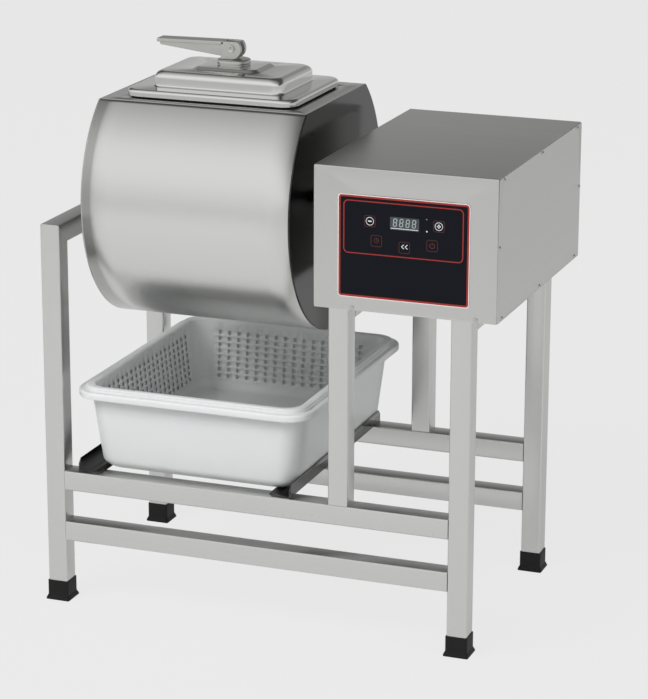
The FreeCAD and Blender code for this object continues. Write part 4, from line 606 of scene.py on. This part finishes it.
# %% [markdown]
# ## Clamp
# A turned collar sits on the pad.  A stud rises through it, and a cast lever pivots on the
# stud's head.  Its two round cheeks are a cam: flat sides clamp, and the lever thrown over
# lets the stud drop.  The lever is a wide top plate on a narrow tapering web, all with the
# soft edges that casting and tumbling leave, so each part is an outline with a bevel.

# %% Collar and lever
def turned(profile, middle, count=72):
    """A profile of (radius, height) turned about an upright axis."""
    angle = np.linspace(0, 2 * math.pi, count, endpoint=False)
    ring = np.stack([np.cos(angle), np.sin(angle)], axis=1)
    return np.array([np.column_stack([middle[0] + r * ring[:, 0], middle[1] + r * ring[:, 1],
                                      np.full(count, float(z))]) for r, z in profile])


def extruded(outline, y_low, y_high):
    """An outline of (x, z) points as a slab between two depths."""
    outline = np.asarray(outline, float)
    loops = [np.column_stack([outline[:, 0], np.full(len(outline), y), outline[:, 1]])
             for y in (y_low, y_high)]
    return loft(loops, cap_first=True, cap_last=True)


def soften(made, width, segments=3, angle=30):
    """Rounds the sharp edges of a piece by a bevel of some width in mm."""
    bevel = made.modifiers.new("soft_edges", "BEVEL")
    bevel.width, bevel.segments = width * MM, segments
    bevel.limit_method, bevel.angle_limit = "ANGLE", math.radians(angle)
    bevel.harden_normals = True
    return made


def collar():
    """A low turned disc with a step under it and a bevelled top edge."""
    low, high = span("clamp_collar")
    radius, top = (high[0] - low[0]) / 2, high[2]
    foot = top - 10.0
    profile = [(8.06, low[2]), (14.0, low[2]), (14.0, foot), (radius - 1.5, foot),
               (radius - 1.5, foot + 2.2), (radius - 0.2, foot + 2.3), (radius, foot + 2.6),
               (radius, top - 1.6), (radius - 0.5, top - 0.5), (radius - 1.6, top), (8.06, top)]
    shape = loft(turned(profile, LID_MIDDLE), wrap=True)
    return piece("clamp_collar_turned", shape, CAST_STEEL, "clamp_collar", sharp=50)


def lever():
    """Cheeks, top plate and web as bevelled slabs."""
    low, high = span("cam_lever")
    pin = np.array([LID_MIDDLE[0], LID_MIDDLE[1], high[2] - 13.0])
    reach, half, slot = pin[0] - low[0], 15.0, 7.5
    nose = arc(0.0, -1.5, 19.0, -90, 49.5, 26)
    cheek = np.concatenate([[(-20.5, 13.0), (-20.5, -20.5)], nose])
    cheek = cheek + pin[[0, 2]]
    plate = np.array([(-reach, 4.0), (-15.0, 6.6), (-15.0, 13.0), (-reach, 11.0)]) + pin[[0, 2]]
    web = np.array([(-reach + 3.5, -1.6), (-20.0, -15.8), (-20.0, 8.0), (-reach + 3.5, 7.0)])
    web = web + pin[[0, 2]]
    spans = [(cheek, -half, -slot), (cheek, slot, half), (plate, -half, half), (web, -8.5, 8.5)]
    parts = [extruded(outline, pin[1] + near, pin[1] + far) for outline, near, far in spans]
    made = piece("cam_lever_cast", combined(parts), CAST_STEEL, "cam_lever", sharp=30)
    return soften(made, 1.3)


collar()
lever()

# %% [markdown]
# ## Tray
# The tray is moulded in one piece: thin tapering walls, a generous radius round the floor,
# and a rim that turns out and down, with a raised step that keeps the basket in place.
# It is one closed skin, so the profile runs up the outside, over the rim and down inside.

# %% Tray
tray_low, tray_high = span("drip_tray")
TRAY_MIDDLE = ((tray_low[0] + tray_high[0]) / 2, (tray_low[1] + tray_high[1]) / 2)
TRAY_SIZE = tray_high - tray_low
TRAY_TOP, TRAY_RIM, TRAY_TAPER, TRAY_CORNER = 157.0, 21.0, 17.0, 52.0
TRAY_FOOT, TRAY_WALL = 20.0, 2.5


def wall_inset(height):
    """How far the tray's outer wall lies inside the rim, at a height above the bottom."""
    return TRAY_RIM + TRAY_TAPER * (1 - np.asarray(height, float) / TRAY_TOP)


def foot_curve(offset, count=9):
    """Inset and height round the foot: a quarter circle that ends along the leaning wall."""
    angle = np.linspace(0, math.pi / 2, count)
    radius = TRAY_FOOT - offset
    height = TRAY_FOOT - radius * np.cos(angle)
    inset = wall_inset(height) + offset + radius * (1 - np.sin(angle))
    return np.column_stack([inset, height])


def tray_rows(profile, low):
    """Rounded rectangles for a profile of inset and height; corners tighten with the inset."""
    inset, height = np.asarray(profile, float).T
    at_rim = TRAY_CORNER - inset * 15 / 21
    at_wall = TRAY_CORNER - 15.0 - (inset - TRAY_RIM) * 0.15
    corner = np.where(inset < TRAY_RIM, at_rim, at_wall)
    return [(TRAY_SIZE[0] - 2 * i, TRAY_SIZE[1] - 2 * i, max(c, 8.0), h + low)
            for i, c, h in zip(inset, corner, height)]


def tray():
    """Outside, rim, step and inside as one loft, capped by the two faces of the floor."""
    neck = [(wall_inset(148), 148), (21.6, 152.0), (20.8, 153.8), (18.8, 154.5)]
    lip = [(3.6, 154.5), (2.7, 153.8), (2.5, 152.8), (2.5, 145.0), (2.1, 144.2), (1.2, 144.0),
           (0.4, 144.3), (0.0, 145.2)]
    shelf = [(8.6, 157.0), (9.8, 157.4), (10.4, 158.4)]
    inner_top = [(wall_inset(154) + TRAY_WALL, 154.0)]
    profile = np.concatenate([foot_curve(0.0), neck, lip, arc(3.6, 153.4, 3.6, 180, 90, 7), shelf,
                              arc(12.0, 159.4, 1.6, 180, 90, 5), [(17.5, 161.0)],
                              arc(17.5, 157.5, 3.5, 90, 20, 5), inner_top, foot_curve(TRAY_WALL)[::-1]])
    loops = level_loops(tray_rows(profile, tray_low[2]), TRAY_MIDDLE, 10, 8)
    return piece("drip_tray_moulding", loft(loops, cap_first=True, cap_last=True),
                 POLYPROPYLENE, "drip_tray", sharp=60)


tray()
print("tray, in mm:", np.round(TRAY_SIZE, 1))

# %% [markdown]
# ## Basket
# The basket hangs in the tray by its rim, and its walls are full of small slots.  Cutting
# hundreds of boxes out would be slow, so the wall is a grid whose columns and rows start
# and end exactly at the slots' edges.  The cells of the slots are then left out, and
# Solidify gives what remains its wall.

# %% Basket
def slot_marks(length, pitch, width):
    """Places of the edges of the slots along one side: pairs that start and end a slot."""
    count = int((length - pitch) // pitch)
    middles = (np.arange(count) - (count - 1) / 2) * pitch
    return np.stack([middles - width / 2, middles + width / 2], axis=1).reshape(-1)


def basket():
    """The basket's skin: rows of cells, with the cells of the slots left out, then a wall."""
    inset_top = TRAY_RIM + 6.5
    pitch, width, tall, rows_of_slots = 20.0, 8.0, 7.6, 8
    corner = 34.0
    half = np.array([TRAY_SIZE[0] / 2 - inset_top, TRAY_SIZE[1] / 2 - inset_top])
    along_x = slot_marks(2 * (half[0] - corner), pitch, width)
    along_y = slot_marks(2 * (half[1] - corner), pitch, width)
    floor = 24.0
    slot_low = floor + 22 + np.arange(rows_of_slots) * 12.6
    heights = np.sort(np.concatenate([slot_low, slot_low + tall]))
    sweep = np.linspace(0, math.pi / 2, 9)

    def ring(inset, height):
        """One loop whose straight sides have a point at each edge of each slot."""
        a, b = TRAY_SIZE[0] / 2 - inset, TRAY_SIZE[1] / 2 - inset
        r = max(corner - 0.2 * (inset - inset_top), 8.0)
        across_a, across_b = np.full(len(along_y), a), np.full(len(along_x), b)
        sides = [np.column_stack([across_a, along_y]), np.column_stack([-along_x, across_b]),
                 np.column_stack([-across_a, -along_y]), np.column_stack([along_x, -across_b])]
        loop = []
        for quarter, side in enumerate(sides):
            sx, sy = ((1, 1), (-1, 1), (-1, -1), (1, -1))[quarter]
            angle = sweep + quarter * math.pi / 2
            corner_points = [sx * (a - r) + r * np.cos(angle), sy * (b - r) + r * np.sin(angle)]
            loop += [side, np.column_stack(corner_points)]
        loop = np.concatenate(loop) + np.asarray(TRAY_MIDDLE)
        return np.column_stack([loop, np.full(len(loop), tray_low[2] + height)])

    def lean(height):
        """The wall's inset at a height, as the tray's wall leans."""
        return inset_top + TRAY_TAPER * (1 - height / TRAY_TOP)

    rim = [(14.2, 157.6), (14.2, 161.2), (14.7, 162.6), (16.0, 163.3), (24.5, 163.3),
           (26.6, 162.4), (27.4, 160.2)]
    foot = 17.0
    bend = np.linspace(0, math.pi / 2, 7)
    fall = floor + foot - foot * np.sin(bend)
    profile = rim + [(lean(z), z) for z in heights[::-1]]
    profile += list(zip(lean(fall) + foot * (1 - np.cos(bend)), fall))
    loops = np.array([ring(i, z) for i, z in profile])
    rows, columns = loops.shape[0] - 1, loops.shape[1]
    keep = np.ones((rows, columns), bool)
    start, open_columns = 0, np.zeros(columns, bool)
    for marks in (along_y, along_x, along_y, along_x):
        open_columns[start:start + len(marks):2] = True
        start += len(marks) + len(sweep)
    keep[len(rim):len(rim) + len(heights) - 1:2] = ~open_columns
    made = piece("draining_basket_moulding", loft(loops, cap_last=True, keep=keep), POLYPROPYLENE,
                 "draining_basket", sharp=60, solid=False)
    outward(made.data, merge=False)
    wall = made.modifiers.new("wall", "SOLIDIFY")
    wall.thickness, wall.offset = 2.0 * MM, 0.0
    return made


print("basket's faces before its wall:", len(basket().data.polygons))

# %% [markdown]
# ## Keypad
# The keypad is one printed film stuck to the housing.  Its clear edge shows as a pale
# line, then come a red border, a second red frame round the keys, and the keys themselves.
# Ink has almost no thickness, but a separate thin plate for each colour keeps its edges
# crisp at any distance, so every mark here is a plate 0.12 mm thick.

# %% Printed plates
film_low, film_high = span("keypad_overlay")
FILM_FACE = film_low[1]
INK = 0.12


def on_film(outline, x, z):
    """A flat outline moved to its place on the film, measured from its lower left corner."""
    return np.asarray(outline, float) + np.array([film_low[0] + x, film_low[2] + z])


def plate(outline, back, front):
    """A flat plate with an outline of (x, z) points."""
    return extruded(outline, back, front)


def frame_plate(outer, inner, back, front):
    """A flat ring between two outlines with the same number of points."""
    loops = [np.column_stack([o[:, 0], np.full(len(o), y), o[:, 1]])
             for o, y in ((outer, back), (outer, front), (inner, front), (inner, back))]
    return loft(loops, wrap=True)


def frame_mark(length, height, radius, line, x, z):
    """A printed rounded frame with a line of some width."""
    outer = on_film(rounded_loop(length, height, radius, 6, 1), x, z)
    inner = rounded_loop(length - 2 * line, height - 2 * line, max(radius - line, 0.3), 6, 1)
    inner = on_film(inner, x, z)
    return frame_plate(outer, inner, FILM_FACE, FILM_FACE - INK)


def ring_mark(radius, line, x, z, start=0, stop=360):
    """A printed circle or part of one."""
    whole = stop - start == 360
    count = 41 if whole else 25
    outer, inner = arc(0, 0, radius, start, stop, count), arc(0, 0, radius - line, start, stop, count)
    if whole:
        return frame_plate(on_film(outer[:-1], x, z), on_film(inner[:-1], x, z),
                           FILM_FACE, FILM_FACE - INK)
    return plate(on_film(np.concatenate([outer, inner[::-1]]), x, z), FILM_FACE, FILM_FACE - INK)


def bar_mark(length, height, x, z, tilt=0.0):
    """A printed bar with round ends."""
    outline = rounded_loop(length, height, min(length, height) * 0.45, 4, 1)
    angle = math.radians(tilt)
    spin = np.array([[math.cos(angle), math.sin(angle)], [-math.sin(angle), math.cos(angle)]])
    return plate(on_film(outline @ spin, x, z), FILM_FACE, FILM_FACE - INK)


FILM_SIZE = film_high - film_low
WINDOW = (123.2, 140.3, 53.6, 23.0)
MINUS, PLUS = (59.4, 140.3), (186.1, 141.8)
KEYS = [(71.7, 105.6), (123.4, 98.2), (174.3, 106.2)]
LAMPS = [(163.7, 152.5), (164.4, 130.9)]


# %% [markdown]
# ## Keys and figures
# The marks are plain: circles with plus and minus, arrows, a power sign, and a display
# whose unlit figures show faintly.  One bar, turned and moved, makes all four figures.

# %% Film, keys and figures
def film():
    """The film: a rounded plate with a window, its clear edge and its black print."""
    middle = (FILM_SIZE[0] / 2, FILM_SIZE[2] / 2)
    back, front = film_high[1], film_low[1]
    outer = on_film(rounded_loop(FILM_SIZE[0], FILM_SIZE[2], 7.0, 8, 4), *middle)
    hole = on_film(rounded_loop(WINDOW[2], WINDOW[3], 0.5, 8, 4), WINDOW[0], WINDOW[1])
    piece("keypad_film", frame_plate(outer, hole, back, front), FILM, "keypad_overlay", sharp=40)
    edge = frame_mark(FILM_SIZE[0], FILM_SIZE[2], 7.0, 1.5, *middle)
    piece("keypad_clear_edge", edge, CLEAR_EDGE, body="frame")
    red = [frame_mark(FILM_SIZE[0] - 3.0, FILM_SIZE[2] - 3.0, 6.0, 3.4, *middle),
           frame_mark(221.0, 96.0, 9.0, 1.9, 120.7, 128.0)]
    piece("keypad_red_lines", combined(red), RED_INK, body="frame")


def keys():
    """The key marks: circles with plus and minus, and three square keys."""
    white = [ring_mark(7.4, 1.0, *MINUS), ring_mark(7.4, 1.0, *PLUS), bar_mark(7.0, 2.4, *MINUS),
             bar_mark(7.4, 2.2, *PLUS), bar_mark(2.2, 7.4, *PLUS)]
    white += [ring_mark(1.3, 1.2, *LAMPS[1]), ring_mark(1.0, 0.3, *LAMPS[0])]
    x, z = KEYS[1]
    white += [bar_mark(6.0, 1.3, x - 3.0, z + 3.6, 40), bar_mark(6.0, 1.3, x - 3.0, z - 0.4, -40),
              bar_mark(6.0, 1.3, x + 3.6, z + 3.6, 40), bar_mark(6.0, 1.3, x + 3.6, z - 0.4, -40)]
    piece("keypad_white_marks", combined(white), WHITE_INK, body="frame")
    dim = [frame_mark(20.5, 20.5, 3.5, 0.9, *spot) for spot in KEYS + [MINUS, PLUS]]
    x, z = KEYS[2]
    dim += [ring_mark(5.2, 1.4, x, z, 125, 415), bar_mark(1.4, 5.6, x, z + 3.6)]
    x, z = KEYS[0]
    dim += [ring_mark(4.6, 1.0, x, z + 1.0), bar_mark(1.0, 3.4, x, z + 2.4),
            bar_mark(3.0, 1.0, x + 1.2, z + 1.0)]
    piece("keypad_dim_marks", combined(dim), DIM_INK, body="frame")


def digits():
    """Four figures of seven segments: one hexagonal bar, turned and moved for each."""
    low, high = span("display_module")
    face = low[1]
    tall, wide, line = 6.6, 5.6, 1.5
    bar = np.array([(-0.5, 0.0), (-0.4, 0.5), (0.4, 0.5), (0.5, 0.0), (0.4, -0.5), (-0.4, -0.5)])
    flat_bar, upright = bar * [wide * 0.92, line], (bar * [tall * 0.92, line])[:, ::-1]
    places = [(flat_bar, 0, v) for v in (tall, 0, -tall)]
    places += [(upright, u, v) for v in (tall / 2, -tall / 2) for u in (-wide / 2, wide / 2)]
    middle = np.array([(low[0] + high[0]) / 2, (low[2] + high[2]) / 2 + 1.6])
    parts = []
    for digit in range(4):
        for outline, u, v in places:
            spot = outline + [u + (digit - 1.5) * 11.6, v]
            spot = spot + np.stack([spot[:, 1] * 0.09, np.zeros(len(spot))], axis=1)
            parts.append(plate(spot + middle, face, face - INK))
    piece("display_digits", combined(parts), SEGMENTS, body="frame", sharp=40)
    under = rounded_loop(50.0, 1.2, 0.3, 2, 1) + middle - [0, 10.6]
    piece("display_light_line", plate(under, face, face - INK), WHITE_INK, body="frame")


film()
keys()
digits()
print("keypad, in mm:", np.round(FILM_SIZE, 1))

# %% [markdown]
# ## The rest of the solids
# Bearings, bolts, shafts, gears and the folded housing are right as they are.  Their
# curved faces come as flat triangles, so each one gets a merged copy that is shaded
# smoothly, with the finish that its own record names.

# %% Finishes on the solids
OWN_FINISH = {"housing_side_left": SIDE_STEEL, "housing_side_right": SIDE_STEEL,
              "clamp_keepers": TURNED_STEEL,
              "mouth_neck": END_STEEL, "mixing_paddles": END_STEEL}
replaced = {name for o in bpy.data.objects for name in (o.get("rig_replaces") or [])}
for node in frame["nodes"]:
    if node not in replaced:
        smooth_copy(node, OWN_FINISH.get(node, FINISH[SLOT_OF[node]]))
print("solids finished:", len(frame["nodes"]) - len(replaced))

# %% [markdown]
# ## Floor, backdrop and light
# A plain pale floor, a large soft lamp over the operator's shoulder and a weaker one at the
# right, as in a product studio.  Steel needs something to mirror: the pale room in front
# gives its light tones, and the dark ceiling behind the machine gives its dark ones.  The
# darkest steel, on the drum's right end plate and the guides, is painted shade in its colour.

# %% Floor and world
BACKDROP = linear("#EBEBEB")
GLOW_SEEN = 0.93        # how much of the floor is plain backdrop; the rest takes the shadow
GLOW_MIRRORED = 0.5     # the same in the steel's mirror image of the floor


def floor():
    """A wide plane under the feet that shows the backdrop's colour and keeps a shadow."""
    size = 12.0
    mesh = bpy.data.meshes.new("floor")
    corners = [(-size, -size, 0), (size, -size, 0), (size, size, 0), (-size, size, 0)]
    mesh.from_pydata(corners, [], [(0, 1, 2, 3)])
    made = bpy.data.objects.new("floor", mesh)
    bpy.context.scene.collection.objects.link(made)
    material = bpy.data.materials.new("pale_studio_floor")
    material.use_nodes = True
    tree = material.node_tree
    tree.nodes.clear()
    matt = add(tree, "ShaderNodeBsdfDiffuse", Color=linear("#E2E2E2"))
    glow = add(tree, "ShaderNodeEmission", Color=BACKDROP, Strength=1.0)
    path = add(tree, "ShaderNodeLightPath")
    either = {0: path.outputs["Is Glossy Ray"], 1: path.outputs["Is Transmission Ray"]}
    mirrored = add(tree, "ShaderNodeMath", either, operation="MAXIMUM")
    seen = add(tree, "ShaderNodeMath", {0: path.outputs["Is Camera Ray"]}, operation="MULTIPLY")
    seen.inputs[1].default_value = GLOW_SEEN
    dimmer = add(tree, "ShaderNodeMath", {0: mirrored.outputs[0]}, operation="MULTIPLY")
    dimmer.inputs[1].default_value = GLOW_MIRRORED
    larger = {0: seen.outputs[0], 1: dimmer.outputs[0]}
    share = add(tree, "ShaderNodeMath", larger, operation="MAXIMUM")
    mix = {0: share.outputs[0], 1: matt.outputs[0], 2: glow.outputs[0]}
    both = add(tree, "ShaderNodeMixShader", mix)
    output = add(tree, "ShaderNodeOutputMaterial")
    tree.links.new(both.outputs[0], output.inputs["Surface"])
    mesh.materials.append(material)
    return made


# The room's tones, from the front horizon (0) over the ceiling (0.5) to the rear one (1).
ROOM = [(0.00, 0.80), (0.10, 0.98), (0.22, 0.95), (0.34, 0.66), (0.45, 0.46), (0.56, 0.24),
        (0.66, 0.08), (0.80, 0.10), (0.90, 0.42), (1.00, 0.58)]


def world():
    """The backdrop for the camera, and a room with light and dark parts for everything else.

    The room's tone follows one angle, from the operator's side over the ceiling to the
    rear: the arctangent of a direction's height over its share towards the operator.
    """
    made = bpy.data.worlds.new("studio")
    bpy.context.scene.world = made
    made.use_nodes = True
    tree = made.node_tree
    tree.nodes.clear()
    path = add(tree, "ShaderNodeLightPath")
    seen = add(tree, "ShaderNodeBackground", Color=BACKDROP, Strength=1.0)
    place = add(tree, "ShaderNodeTexCoord")
    towards = add(tree, "ShaderNodeVectorMath", {0: place.outputs["Generated"]}, operation="DOT_PRODUCT")
    towards.inputs[1].default_value = (-0.35, -0.94, 0.0)
    split = add(tree, "ShaderNodeSeparateXYZ", {0: place.outputs["Generated"]})
    height = {0: split.outputs["Z"], 1: towards.outputs["Value"]}
    over = add(tree, "ShaderNodeMath", height, operation="ARCTAN2")
    share = add(tree, "ShaderNodeMapRange", {"Value": over.outputs[0]})
    share.inputs["From Max"].default_value = math.pi
    ramp = add(tree, "ShaderNodeValToRGB", {0: share.outputs[0]})
    stops = ramp.color_ramp.elements
    for position, tone in ROOM[1:-1]:
        stops.new(position).color = (tone, tone, tone, 1)
    stops[0].color, stops[-1].color = (*[ROOM[0][1]] * 3, 1), (*[ROOM[-1][1]] * 3, 1)
    room = add(tree, "ShaderNodeBackground", {"Color": ramp.outputs[0]}, Strength=1.0)
    mix = {0: path.outputs["Is Camera Ray"], 1: room.outputs[0], 2: seen.outputs[0]}
    both = add(tree, "ShaderNodeMixShader", mix)
    output = add(tree, "ShaderNodeOutputWorld")
    tree.links.new(both.outputs[0], output.inputs["Surface"])


def soft_lamp(name, place, target, width, height, power):
    """A square soft lamp that faces a point."""
    data = bpy.data.lights.new(name, "AREA")
    data.shape, data.size, data.size_y, data.energy = "RECTANGLE", width, height, power
    lamp = bpy.data.objects.new(name, data)
    bpy.context.scene.collection.objects.link(lamp)
    lamp.location = place
    lamp.rotation_euler = (Vector(target) - Vector(place)).to_track_quat("-Z", "Y").to_euler()
    lamp.visible_glossy = False     # the steel mirrors the room, not the lamp's own square
    return lamp


floor()
world()
soft_lamp("key", (-1.6, -3.4, 3.6), (0.0, 0.0, 0.6), 3.0, 1.8, 150)
soft_lamp("fill", (3.8, -1.2, 2.0), (0.0, 0.0, 0.6), 2.0, 2.4, 45)
bpy.context.scene.view_settings.view_transform = "Standard"
print("lamps:", [lamp.name for lamp in bpy.data.lights])
